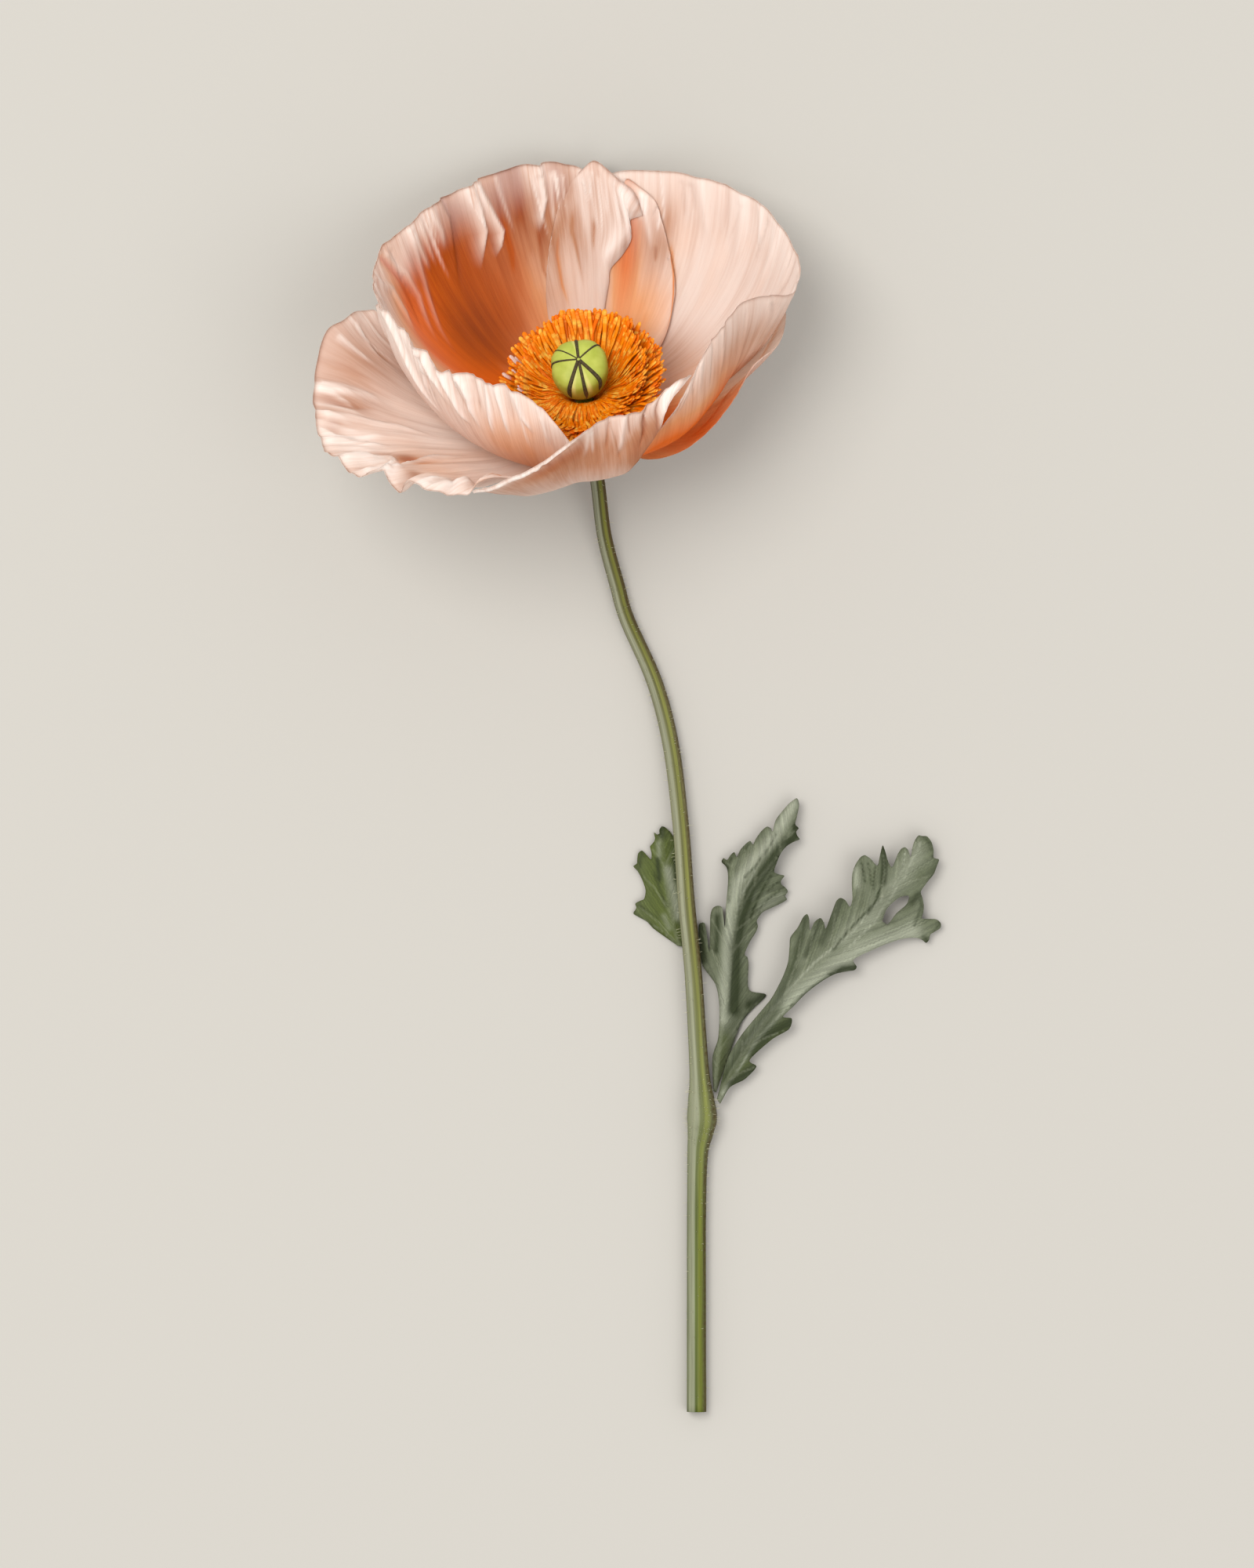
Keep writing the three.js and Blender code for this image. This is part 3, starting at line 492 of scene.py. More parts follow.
# How each petal looks. Angles are in degrees, and places along it run from 0 at the root to 1.
# seen: the side that its creases are on, the inside of the cup or the outside.
# frill: mm that the rim comes and goes. wrinkle: mm of fine radial wrinkles. lump: mm of crumpling
# near the rim. glow: how orange its root is, and where along it the orange ends. streak: how
# strongly it is streaked near the rim. edge: how pale its rim is. crumples: how many small creases
# its rim has.
# right_margin and left_margin: place along, degrees that the margin turns away from its own line.
# nicks: angle, half width, mm that the rim is longer there.
# spots, by tone and side: angle, half width, place along, half length, strength.
# creases: tone, its strength, mm that it is wide towards the left and the right of its line, mm that
# it rises towards the side it is on, and the line's angles and places along, from the rim down.
# The brown shade tone is painted shade: on sides that face away from the light, under overlapping petals
# and in crease hollows.
# The orange tone is the petals' own orange towards the root, and in the depth of the cup also painted shade
# in orange.
# The pale tone is the pale rim, and painted highlight on raised crease crests and on some places that lie
# in shade.
PETAL_LOOKS = {
    "petal_back_centre": {
        "seen": "in", "frill": 0.3, "wrinkle": 0.2, "lump": 0.4, "glow": (0.2, 0.45), "streak": 0.7,
        "edge": 0.35, "crumples": 12,
        "right_margin": [
            [0, 0], [0.5, 0], [0.65, 0.2], [0.72, 1], [0.79, -1.1], [0.87, -1.7], [0.94, 0.6], [0.975, 2],
            [0.99, 0.3], [1, -0.6],
        ],
        "spots": {
            ("pale", "in"): [(72, 4, 1, 0.08, 0.4)],
            ("dusk", "in"): [
                (76, 5, 0.9, 0.12, 0.25), (87, 4, 0.98, 0.07, 0.8), (97, 7, 0.7, 0.34, 0.6),
                (89, 6, 0.86, 0.18, 0.65), (80, 12, 0.78, 0.24, 0.05), (84, 3, 0.7, 0.1, 0.3),
                (82, 14, 0.6, 0.35, 0.25),
            ],
            ("orange", "in"): [(96, 9, 0.5, 0.3, 0.15)],
            ("dusk", "out"): [(80, 30, 0.8, 0.4, 0.3)],
        },
        "creases": [
            ("pale", 0.7, 1.6, 0.5, 0.5, [(70, 0.97), (71, 0.88), (73.5, 0.8), (76, 0.7), (77, 0.56)]),
            ("dusk", 0.6, 0.5, 0.5, -0.3, [(80, 0.82), (80.2, 0.75), (80, 0.68)]),
            ("dusk", 0.5, 0.6, 0.6, -0.3, [(86, 0.86), (86.5, 0.74), (85, 0.6), (84, 0.5)]),
            ("pale", 0.4, 1, 1, 0.3, [(83, 0.97), (83, 0.85), (82, 0.7)]),
            ("orange", 0.4, 0.6, 0.6, -0.2, [(90, 0.85), (92, 0.7), (92, 0.55), (90, 0.4)]),
        ],
    },
    "petal_back_left": {
        "seen": "in", "frill": 0.35, "wrinkle": 0.2, "lump": 0.3, "glow": (0.6, 0.66), "streak": 0.9,
        "edge": 0.5, "crumples": 26,
        "nicks": [(143, 3, 1), (157, 2, -0.8), (126, 3, 0.4), (96, 4, 0.4)],
        "spots": {
            ("orange", "in"): [
                (137, 11, 0.6, 0.28, 1.25), (143, 8, 0.5, 0.28, 0.9), (122, 12, 0.6, 0.28, 0.5),
                (108, 10, 0.6, 0.24, 0.3), (98, 14, 0.45, 0.2, 0.1), (112, 18, 0.75, 0.35, 0.2),
                (131, 7, 0.72, 0.1, 0.5), (126, 8, 0.8, 0.12, 0.35),
            ],
            ("dusk", "in"): [
                (134, 7, 0.8, 0.1, 0.4), (124, 6, 0.86, 0.16, 0.6), (114, 15, 0.7, 0.34, 0.85),
                (98, 10, 0.76, 0.24, 0.6), (120, 12, 0.45, 0.2, 0.9), (113, 7, 0.74, 0.16, 0.5),
                (140, 12, 0.85, 0.2, 0.25), (101.5, 4.5, 0.92, 0.17, 1.5), (134, 9, 0.47, 0.16, 0.9),
                (131, 8, 0.62, 0.16, 0.4), (118, 5, 0.94, 0.1, 0.3), (101, 3, 1, 0.08, 0.6),
                (89.5, 3.5, 0.92, 0.1, 1), (115.6, 3.5, 0.94, 0.08, 0.8), (133.6, 4, 0.91, 0.08, 0.7),
                (101.9, 3.5, 0.96, 0.09, 0.6), (123, 3, 0.97, 0.08, 0.5), (126, 6, 0.5, 0.25, 0.4),
                (109, 3.5, 0.92, 0.08, 0.9), (93.9, 3.5, 0.75, 0.14, 0.8), (88, 5, 0.93, 0.09, 1),
            ],
            ("pale", "in"): [
                (130, 7, 0.99, 0.06, 0.6), (138, 4, 0.9, 0.07, 0.5), (158, 10, 0.8, 0.3, 0.6),
                (94, 3, 1.02, 0.08, 0.6),
            ],
        },
        "creases": [
            ("dusk", 0.9, 0.35, 1.3, -0.7, [
                (120.4, 1), (119.2, 0.92), (120, 0.86), (121.6, 0.77), (126, 0.62),
            ]),
            ("pale", 0.8, 2, 0.35, 1.2, [
                (109.8, 0.98), (107.5, 0.86), (106.2, 0.79), (108, 0.74), (111, 0.7),
            ]),
            ("pale", 0.7, 2.6, 0.35, 1.1, [
                (111.9, 1), (110.8, 0.9), (110.9, 0.81), (113.3, 0.75), (116.3, 0.68),
            ]),
            ("orange", 0.7, 0.8, 0.8, -0.4, [(107, 0.9), (105.5, 0.8), (105.5, 0.7), (107, 0.6)]),
            ("pale", 0.8, 2, 0.35, 1.3, [(93, 1), (92.6, 0.87), (94.6, 0.8), (95.9, 0.74)]),
            ("dusk", 0.7, 0.6, 0.6, -0.4, [(95.8, 0.8), (96.6, 0.7), (97.2, 0.6), (95.1, 0.46)]),
            ("pale", 0.3, 0.5, 0.8, 0.6, [
                (133.1, 0.98), (133.4, 0.88), (134.8, 0.78), (136.8, 0.69), (139.1, 0.6), (141.6, 0.48),
            ]),
            ("orange", 0.9, 0.8, 0.5, -0.5, [
                (145, 0.97), (141, 0.85), (140.6, 0.78), (142.4, 0.7), (146, 0.6),
            ]),
            ("pale", 0.35, 0.6, 0.8, 0.5, [
                (143, 0.96), (139, 0.85), (138.8, 0.75), (141, 0.66), (143.7, 0.56),
            ]),
            ("pale", 0.3, 0.8, 0.6, 0.5, [(152, 0.98), (146, 0.85), (146, 0.74), (148, 0.64)]),
            ("pale", 0.5, 0.9, 0.7, 0.4, [(125, 1), (123.5, 0.9), (124, 0.82)]),
            ("dusk", 0.5, 0.5, 0.8, -0.3, [(128, 1), (127, 0.9), (128, 0.8)]),
        ],
    },
    "petal_back_strip": {
        "seen": "in", "frill": 0.3, "wrinkle": 0.1, "lump": 0.15, "glow": (0.5, 0.75), "streak": 0.5,
        "edge": 0.4, "crumples": 5,
        "spots": {
            ("pale", "in"): [(64, 8, 0.95, 0.2, 0.4)],
            ("orange", "in"): [
                (70.5, 5, 0.78, 0.3, 0.85), (60, 8, 0.9, 0.1, 0.15), (60, 9, 0.5, 0.3, 0.25),
            ],
            ("dusk", "in"): [
                (72, 4, 0.75, 0.25, 0.25), (63, 8, 0.84, 0.24, 0.8), (58.5, 2.5, 0.8, 0.12, 0.4),
            ],
        },
        "creases": [
            ("orange", 0.7, 0.35, 0.5, 0.1, [
                (58, 0.88), (55.5, 0.8), (52.4, 0.68), (48.2, 0.56), (46, 0.45),
            ]),
            ("dusk", 0.6, 0.5, 0.4, -0.2, [(61, 0.79), (60.5, 0.74), (60.2, 0.7)]),
            ("pale", 0.4, 1, 1, 0.3, [(66, 0.97), (64, 0.86), (62, 0.74)]),
        ],
    },
    "petal_right": {
        "seen": "in", "frill": 0.3, "wrinkle": 0.1, "lump": 0.3, "glow": (0.3, 0.4), "streak": 0.25,
        "edge": 0.6, "crumples": 26,
        "right_margin": [[0, 0], [0.3, -2], [0.6, -4], [0.8, -3], [0.95, 0], [1, 0]],
        "spots": {
            ("dusk", "out"): [(-16, 30, 0.88, 0.36, 0.9), (-56, 12, 0.9, 0.35, 0.5)],
            ("orange", "out"): [
                (-52, 26, 0.45, 0.25, 1.2), (-58, 10, 0.8, 0.3, 0.35), (-22, 16, 0.5, 0.25, 0.8),
            ],
            ("dusk", "in"): [
                (34, 24, 0.3, 0.12, 0.6), (64, 6, 0.68, 0.26, 0.4), (69, 4, 0.5, 0.2, 0.3),
                (59, 2.5, 0.8, 0.12, 0.5), (50, 10, 0.95, 0.12, 0.2), (25, 60, 0.8, 0.5, 0.14),
                (-38, 34, 0.28, 0.2, 0.7),
            ],
            ("orange", "in"): [(64, 9, 0.55, 0.3, 0.3), (-34, 36, 0.3, 0.2, 1.1)],
            ("pale", "in"): [(10, 30, 0.85, 0.25, 0.4), (34, 24, 0.8, 0.3, 0.15)],
            ("pale", "out"): [(-14, 12, 0.8, 0.2, 0.15)],
        },
        "creases": [
            # Painted shade in orange, beside the edge of the back strip that lies over this petal.
            ("orange", 0.6, 0.5, 0.5, -0.2, [(57.6, 0.74), (55.5, 0.66), (52.9, 0.58), (48, 0.42)]),
            ("pale", 0.4, 1.5, 1.2, 0.4, [(50, 1), (48, 0.88), (46, 0.74)]),
            ("pale", 0.4, 1.5, 1.5, 0.4, [(38, 1), (37, 0.85), (37, 0.7)]),
            ("dusk", 0.3, 0.8, 0.8, -0.3, [(43, 1), (42, 0.88), (41, 0.76)]),
            ("pale", 0.4, 1.5, 1.5, 0.4, [(24, 1), (24, 0.85), (26, 0.7)]),
            ("dusk", 0.3, 0.9, 0.9, -0.3, [(12, 1), (13, 0.86), (17, 0.7)]),
            ("pale", 0.3, 1.5, 1.5, 0.3, [(2, 1), (4, 0.85), (10, 0.6)]),
        ],
    },
    "petal_left_wall": {
        "seen": "out", "frill": 0.5, "wrinkle": 0.16, "lump": 0.3, "glow": (0.3, 0.6), "streak": 0.5,
        "edge": 0.7, "crumples": 16,
        "nicks": [(190, 3, 1), (207, 3, 1), (214, 1.5, -0.8), (225, 2, 0.6), (238, 2, 0.5)],
        "spots": {
            ("pale", "out"): [(190, 14, 0.85, 0.3, 0.6), (212, 10, 0.6, 0.12, 0.5)],
            ("dusk", "out"): [(222, 26, 0.78, 0.16, 0.15)],
            ("orange", "out"): [(240, 22, 0.62, 0.26, 0.35)],
            ("orange", "in"): [(215, 50, 0.6, 0.3, 0.5)],
        },
        "creases": [
            ("pale", 0.9, 1, 1.6, 0.9, [(186, 1), (192, 0.94), (196, 0.86), (201, 0.76), (206, 0.68)]),
            ("dusk", 0.4, 0.7, 0.7, -0.5, [(197, 1), (201, 0.93), (205, 0.85), (208, 0.78)]),
            ("pale", 0.9, 1.1, 0.9, 0.9, [(202.5, 1), (206.7, 0.95), (210.4, 0.89), (212.6, 0.8)]),
            ("dusk", 0.45, 0.6, 0.6, -0.5, [(208, 1), (211.5, 0.92), (215, 0.84)]),
            ("pale", 0.9, 0.9, 1, 0.9, [(213, 0.99), (216, 0.9), (218.5, 0.81), (221, 0.74)]),
            ("dusk", 0.5, 0.6, 0.6, -0.5, [(217, 1), (219.5, 0.9), (222, 0.82)]),
            ("pale", 0.9, 0.9, 0.9, 0.8, [(220, 1), (223.9, 0.9), (223.5, 0.77)]),
            ("dusk", 0.5, 0.5, 0.6, -0.5, [(227, 1), (227.5, 0.9), (227, 0.82)]),
            ("pale", 1, 0.8, 0.7, 0.8, [(232, 1), (231, 0.87), (230, 0.72)]),
            ("pale", 0.9, 0.7, 0.7, 0.7, [(234.5, 1), (236.1, 0.88), (237.1, 0.74)]),
            ("dusk", 0.4, 0.5, 0.5, -0.4, [(238.5, 1), (239.5, 0.9), (240, 0.8)]),
            ("pale", 0.8, 0.9, 0.8, 0.7, [(241, 1), (243.6, 0.88), (247, 0.8)]),
            ("pale", 0.5, 0.9, 0.8, 0.5, [(250, 1), (251.5, 0.88), (253, 0.76)]),
        ],
    },
    "petal_left_spread": {
        "seen": "in", "frill": 0.7, "wrinkle": 0.2, "lump": 0.9, "glow": (0.25, 0.7), "streak": 0.45,
        "edge": 0.35, "crumples": 34,
        "nicks": [
            (229, 2.5, 0.8), (233, 1.8, -3.2), (223, 2, 0.6), (219.5, 1.4, -1.8), (214, 2.5, 1.4),
            (208.5, 1.6, -1.4), (239, 2, 0.6), (175, 3, 2), (196, 3, -0.8),
        ],
        "spots": {
            ("dusk", "in"): [
                (176, 12, 0.9, 0.26, 0.8), (187, 7, 0.96, 0.12, 0.8), (191.8, 1.8, 0.945, 0.03, 1),
                (205, 3.2, 0.76, 0.055, 1.1), (217.5, 1.8, 0.895, 0.04, 1),
            ],
            ("pale", "in"): [
                (191, 14, 0.42, 0.3, 0.9), (220, 12, 0.44, 0.2, 1), (196, 3.2, 0.88, 0.08, 0.9),
                (204, 3, 0.875, 0.045, 1.4), (213, 4, 0.97, 0.04, 0.9), (228, 2.6, 0.86, 0.13, 1.5),
                (241, 5, 0.97, 0.05, 1),
            ],
            ("orange", "in"): [
                (207, 3.5, 0.74, 0.07, 0.5), (207, 14, 0.6, 0.22, 0.15), (216, 10, 0.8, 0.12, 0.1),
                (238, 8, 0.82, 0.24, 0.5),
            ],
        },
        "creases": [
            ("pale", 0.5, 0.8, 0.9, 0.7, [(183.5, 1), (183.2, 0.87), (181, 0.72)]),
            ("dusk", 0.35, 0.6, 0.6, -0.5, [(187, 1), (186.5, 0.88), (184, 0.74)]),
            ("pale", 0.6, 0.7, 0.7, 0.7, [(190, 0.96), (189.4, 0.82), (189, 0.68), (191, 0.54)]),
            ("pale", 0.6, 0.8, 0.6, 1, [(195, 1), (195.5, 0.93), (197, 0.84), (198, 0.75)]),
            ("dusk", 0.35, 0.6, 0.6, -0.8, [(198.6, 1), (199.2, 0.92), (200.5, 0.84)]),
            ("pale", 0.7, 0.9, 0.6, 1.2, [(203, 1), (202.5, 0.92), (203, 0.84)]),
            ("dusk", 0.35, 0.5, 0.6, -0.8, [(206.5, 1), (206, 0.94), (206.5, 0.88)]),
            ("pale", 0.7, 1.2, 0.4, 1, [
                (212, 0.93), (208.8, 0.82), (206.4, 0.72), (204.3, 0.61), (203.9, 0.46),
            ]),
            ("dusk", 0.9, 0.5, 0.5, -0.7, [(201, 0.93), (201, 0.86), (200.6, 0.8), (200, 0.75)]),
            ("pale", 0.9, 0.6, 0.4, 0.9, [(207.5, 0.95), (207.8, 0.88), (205.4, 0.82), (201.5, 0.81)]),
            ("pale", 0.6, 0.4, 0.4, 0.6, [(193, 0.99), (194, 0.94), (195, 0.86)]),
            ("pale", 0.5, 0.4, 0.4, 0.6, [(189.5, 1), (190.2, 0.94), (191, 0.87)]),
            ("dusk", 0.5, 0.5, 0.5, -0.6, [(211, 1), (212, 0.95), (213.5, 0.92)]),
            ("pale", 0.9, 0.6, 0.4, 0.9, [(216, 1), (214.5, 0.96), (211, 0.94)]),
            ("dusk", 0.7, 0.4, 0.6, -0.9, [(231, 1), (228.6, 0.9), (225.6, 0.8), (224.4, 0.74)]),
            ("pale", 0.8, 0.8, 0.8, 0.9, [(215.5, 1), (214.5, 0.93), (213.5, 0.87)]),
            ("dusk", 0.35, 0.5, 0.5, -0.7, [(220, 1), (219, 0.95), (218, 0.9)]),
            ("pale", 1, 1, 1, 1.2, [(232.5, 1), (230.6, 0.9), (228, 0.8), (226.6, 0.72)]),
            ("pale", 0.6, 0.6, 0.6, 0.5, [(225, 1), (224.5, 0.94), (223.5, 0.86)]),
        ],
    },
    "petal_right_outer": {
        "seen": "out", "frill": 0.3, "wrinkle": 0.1, "lump": 0.1, "glow": (0.4, 0.8), "streak": 0.3,
        "edge": 0.3, "crumples": 4,
        "spots": {
            ("dusk", "in"): [(19, 12, 0.84, 0.26, 0.7)],
            ("pale", "in"): [(0, 14, 0.85, 0.3, 0.8)],
            ("orange", "in"): [(-30, 20, 0.6, 0.4, 0.8)],
            ("orange", "out"): [(-11, 12, 0.68, 0.2, 0.3)],
        },
        "creases": [
            ("orange", 0.5, 0.8, 0.8, -0.3, [(10, 0.98), (-8, 0.7), (-26, 0.52), (-40, 0.4)]),
        ],
    },
    "petal_front": {
        "seen": "out", "frill": 0.35, "wrinkle": 0.1, "lump": 0.3, "glow": (0.3, 0.6), "streak": 0.4,
        "edge": 0.25, "crumples": 10,
        "left_margin": [
            [0, 0], [0.4, 2], [0.58, 0.5], [0.7, 0.5], [0.78, 0.5], [0.84, -1], [0.92, -5], [0.97, -5.5],
            [1, -2.5],
        ],
        "nicks": [(283, 4, 0.5), (294, 3, -0.4)],
        "spots": {
            ("dusk", "out"): [
                (266, 30, 0.74, 0.26, 1.05), (252, 14, 0.9, 0.1, 0.4), (294, 10, 0.7, 0.25, 0.9),
                (302, 10, 0.88, 0.14, 0.3),
            ],
            ("pale", "out"): [(242, 7, 0.99, 0.06, 1), (250, 14, 1, 0.025, 1.4), (311, 6, 1, 0.14, 1)],
            ("orange", "out"): [(258, 12, 0.86, 0.1, 0.4)],
            ("orange", "in"): [(270, 30, 0.7, 0.3, 0.3)],
        },
        "creases": [
            ("pale", 0.8, 0.7, 0.7, 0.7, [
                (236.5, 0.985), (243, 0.975), (250, 0.975), (258, 0.98), (266, 0.99), (272, 0.99),
            ]),
            ("dusk", 0.4, 0.5, 0.5, -0.3, [
                (238, 0.945), (246, 0.935), (254, 0.935), (262, 0.94), (268, 0.945),
            ]),
            ("pale", 0.7, 1.2, 1.6, 0.5, [(313, 1), (306, 0.86), (299, 0.72), (293, 0.6)]),
            ("dusk", 0.9, 0.6, 0.8, -0.5, [(306, 1), (304.5, 0.94), (302, 0.86), (298, 0.76)]),
            ("dusk", 0.5, 1, 1, -0.6, [(298, 1), (295, 0.86), (290, 0.72)]),
            ("pale", 0.4, 1, 1, 0.4, [(286, 1), (283, 0.86), (280, 0.74)]),
            ("dusk", 0.4, 0.8, 0.8, -0.4, [(279, 1), (277, 0.88), (275, 0.76)]),
            ("pale", 0.4, 1, 1, 0.3, [(270, 1), (268, 0.88), (266, 0.74)]),
        ],
    },
}
TONES = ("orange", "dusk", "pale")
FRILL_ANGLE = 8  # degrees between the waves of a rim, and between the fine ones on them
FINE_FRILL_ANGLE = 3.2
MARGIN_WOBBLE = 1.2  # degrees that the margins wander
DEEPEST_TONE = 2
HIGHLIGHT_COVERS = 0.7  # how much of the other tones a pale crease's painted highlight hides
CREASE_END = 0.45  # how wide a crease is at its foot, as a part of its width at the rim
CREASE_EDGE = 1.6  # how sharply a crease ends at its sides


def crease_profile(petal, left, right, line):
    """How near each place of a petal is to a crease that narrows and fades down its line, 0 to 1."""
    line = np.array(line) * [MM_PER_DEGREE, PETAL_LENGTH]
    place = np.stack([petal.angle * MM_PER_DEGREE, petal.along * PETAL_LENGTH], axis=-1)
    step = line[1:] - line[:-1]
    offset = place[..., None, :] - line[:-1]
    t = np.clip((offset * step).sum(axis=-1) / (step**2).sum(axis=-1), 0, 1)
    aside = offset - t[..., None] * step
    gap = np.linalg.norm(aside, axis=-1)
    nearest = gap.argmin(axis=-1)[..., None]

    def at_nearest(values):
        return np.take_along_axis(values, nearest, axis=-1)[..., 0]

    down = (nearest[..., 0] + at_nearest(t)) / len(step)
    width = np.where(at_nearest(aside[..., 0]) > 0, left, right) * mix(1.0, CREASE_END, down)
    starts_at_rim = line[0, 1] > 0.93 * PETAL_LENGTH
    start = 1.0 if starts_at_rim else smoothstep(0.0, 0.3, down)
    return np.exp(-((at_nearest(gap) / width) ** CREASE_EDGE)) * start * (1 - smoothstep(0.6, 1.0, down))


def crumples(row, count, seed):
    """Small creases at random places along a petal's rim."""
    random = np.random.default_rng(seed)
    made = []
    for _ in range(count):
        angle = random.uniform(row["right"][2], row["left"][2])
        length = random.uniform(0.06, 0.28)
        lean_to = angle + random.uniform(-2.5, 2.5)
        width = random.uniform(0.3, 0.8)
        steep = width * random.uniform(0.4, 1.0)
        widths = (width, steep) if random.uniform() < 0.5 else (steep, width)
        rise = random.uniform(0.15, 0.45)
        # Raised crumples get painted highlight on their crests, sunken ones painted shade in their hollows.
        tone, amount, height = ("pale", 0.65, rise) if random.uniform() < 0.6 else ("dusk", 0.4, -rise)
        amount *= random.uniform(0.5, 1.0)
        top = random.uniform(0.94, 1.0)
        made.append((tone, amount, *widths, height, [(angle, top), (lean_to, top - length)]))
    return made


def petal_relief(petal, look, seed):
    """How far the petal's skin stands out from its smooth shape, in mm."""
    u = petal.angle * MM_PER_DEGREE
    v = petal.along * PETAL_LENGTH
    rise = smoothstep(0.2, 1.0, petal.along)
    patches = 0.6 + 0.4 * soft_noise(u / 9, v / 20, seed + 11)
    relief = look["wrinkle"] * rough_noise(u / 1.6 + v / 40, v / 14, seed) * (0.2 + 0.9 * rise) * patches
    relief += look["lump"] * rough_noise(u / 8, v / 12, seed + 7, 2) * rise**2
    outwards = -1.0 if look["seen"] == "in" else 1.0
    for _, _, left, right, height, line in look["creases"]:
        relief += outwards * height * crease_profile(petal, left, right, line)
    return relief


def petal_tones(petal, look, side):
    """Per place on one side of a petal: how orange, how pale with painted highlight, how deep in painted
    shade; 0 to 1 or deeper.
    """
    strength, end = look["glow"]
    tones = {
        "orange": strength * (1 - smoothstep(0.05, end, petal.along)),
        "dusk": 0 * petal.along,
        "pale": look["edge"] * smoothstep(0.8, 1.0, petal.along),
    }
    for tone in TONES:
        for angle, width, place, length, amount in look["spots"].get((tone, side), []):
            spot = bump_at(petal.angle, angle, width) * bump_at(petal.along, place, length)
            tones[tone] = tones[tone] + amount * spot
    for tone, amount, left, right, _, line in look["creases"] if look["seen"] == side else []:
        profile = crease_profile(petal, left, right, line)
        tones[tone] = tones[tone] + amount * profile
        if tone == "pale":
            for other in ("orange", "dusk"):
                tones[other] = tones[other] * (1 - HIGHLIGHT_COVERS * amount * profile)
    return {tone: np.clip(values, 0, DEEPEST_TONE).ravel() for tone, values in tones.items()}


def petal_piece(row, number, material):
    petal = Petal(row)
    name = row["name"]
    seed = 100 * number
    look = PETAL_LOOKS[name]
    look["creases"] += crumples(row, look["crumples"], seed + 20)
    still = 0 * petal.along
    edge = soft_noise(petal.rim_angle / FRILL_ANGLE, still, seed + 3)
    edge += 0.35 * soft_noise(petal.rim_angle / FINE_FRILL_ANGLE, still, seed + 4)
    longer = look["frill"] * edge
    for angle, width, more in look.get("nicks", []):
        longer += more * bump_at(petal.rim_angle, angle, width)
    margin = np.abs(2 * petal.across - 1) ** 6 * smoothstep(0.3, 1, petal.along)
    turned = MARGIN_WOBBLE * margin * soft_noise(petal.along * 7, np.sign(petal.across - 0.5), seed + 5)
    for margin_name, nearness in (("right_margin", 1 - petal.across), ("left_margin", petal.across)):
        if margin_name in look:
            aside, = smooth_rows(look[margin_name], petal.along)
            turned = aside * nearness**5
    point, outwards, rising, round_wall = petal.surface(longer / PETAL_LENGTH, turned)
    point = point + outwards * petal_relief(petal, look, seed)[..., None]
    point[..., 2] = on_surface(point[..., 2])
    width = MM_PER_DEGREE * abs(row["left"][2] - row["right"][2])
    inside_edge = np.minimum((1 - petal.along) * PETAL_LENGTH, (0.5 - np.abs(petal.across - 0.5)) * width)
    points, faces = closed_sheet(point, PETAL_THICKNESS * mix(0.3, 1.0, smoothstep(0, 1.5, inside_edge)))
    thin = 1 - smoothstep(0, PETAL_EDGE, inside_edge)
    smooth = 2 * (still.shape[0] - 1) * (still.shape[1] - 1)
    place = [petal.angle * MM_PER_DEGREE, petal.along * PETAL_LENGTH, still + 10 * number]
    place = np.stack(place, axis=-1).reshape(-1, 3)
    outer = petal_tones(petal, look, "out")
    inner = petal_tones(petal, look, "in")
    tones = {tone: np.concatenate([outer[tone], inner[tone]]) for tone in TONES}
    streak = look["streak"] * smoothstep(0.4, 0.95, petal.along)
    add_piece(
        name + "_skin", points, faces, material, "petal", [name], smooth,
        sheet=np.concatenate([place, place]), streak=np.tile(streak.ravel(), 2),
        thin=np.tile(thin.ravel(), 2), **tones,
    )


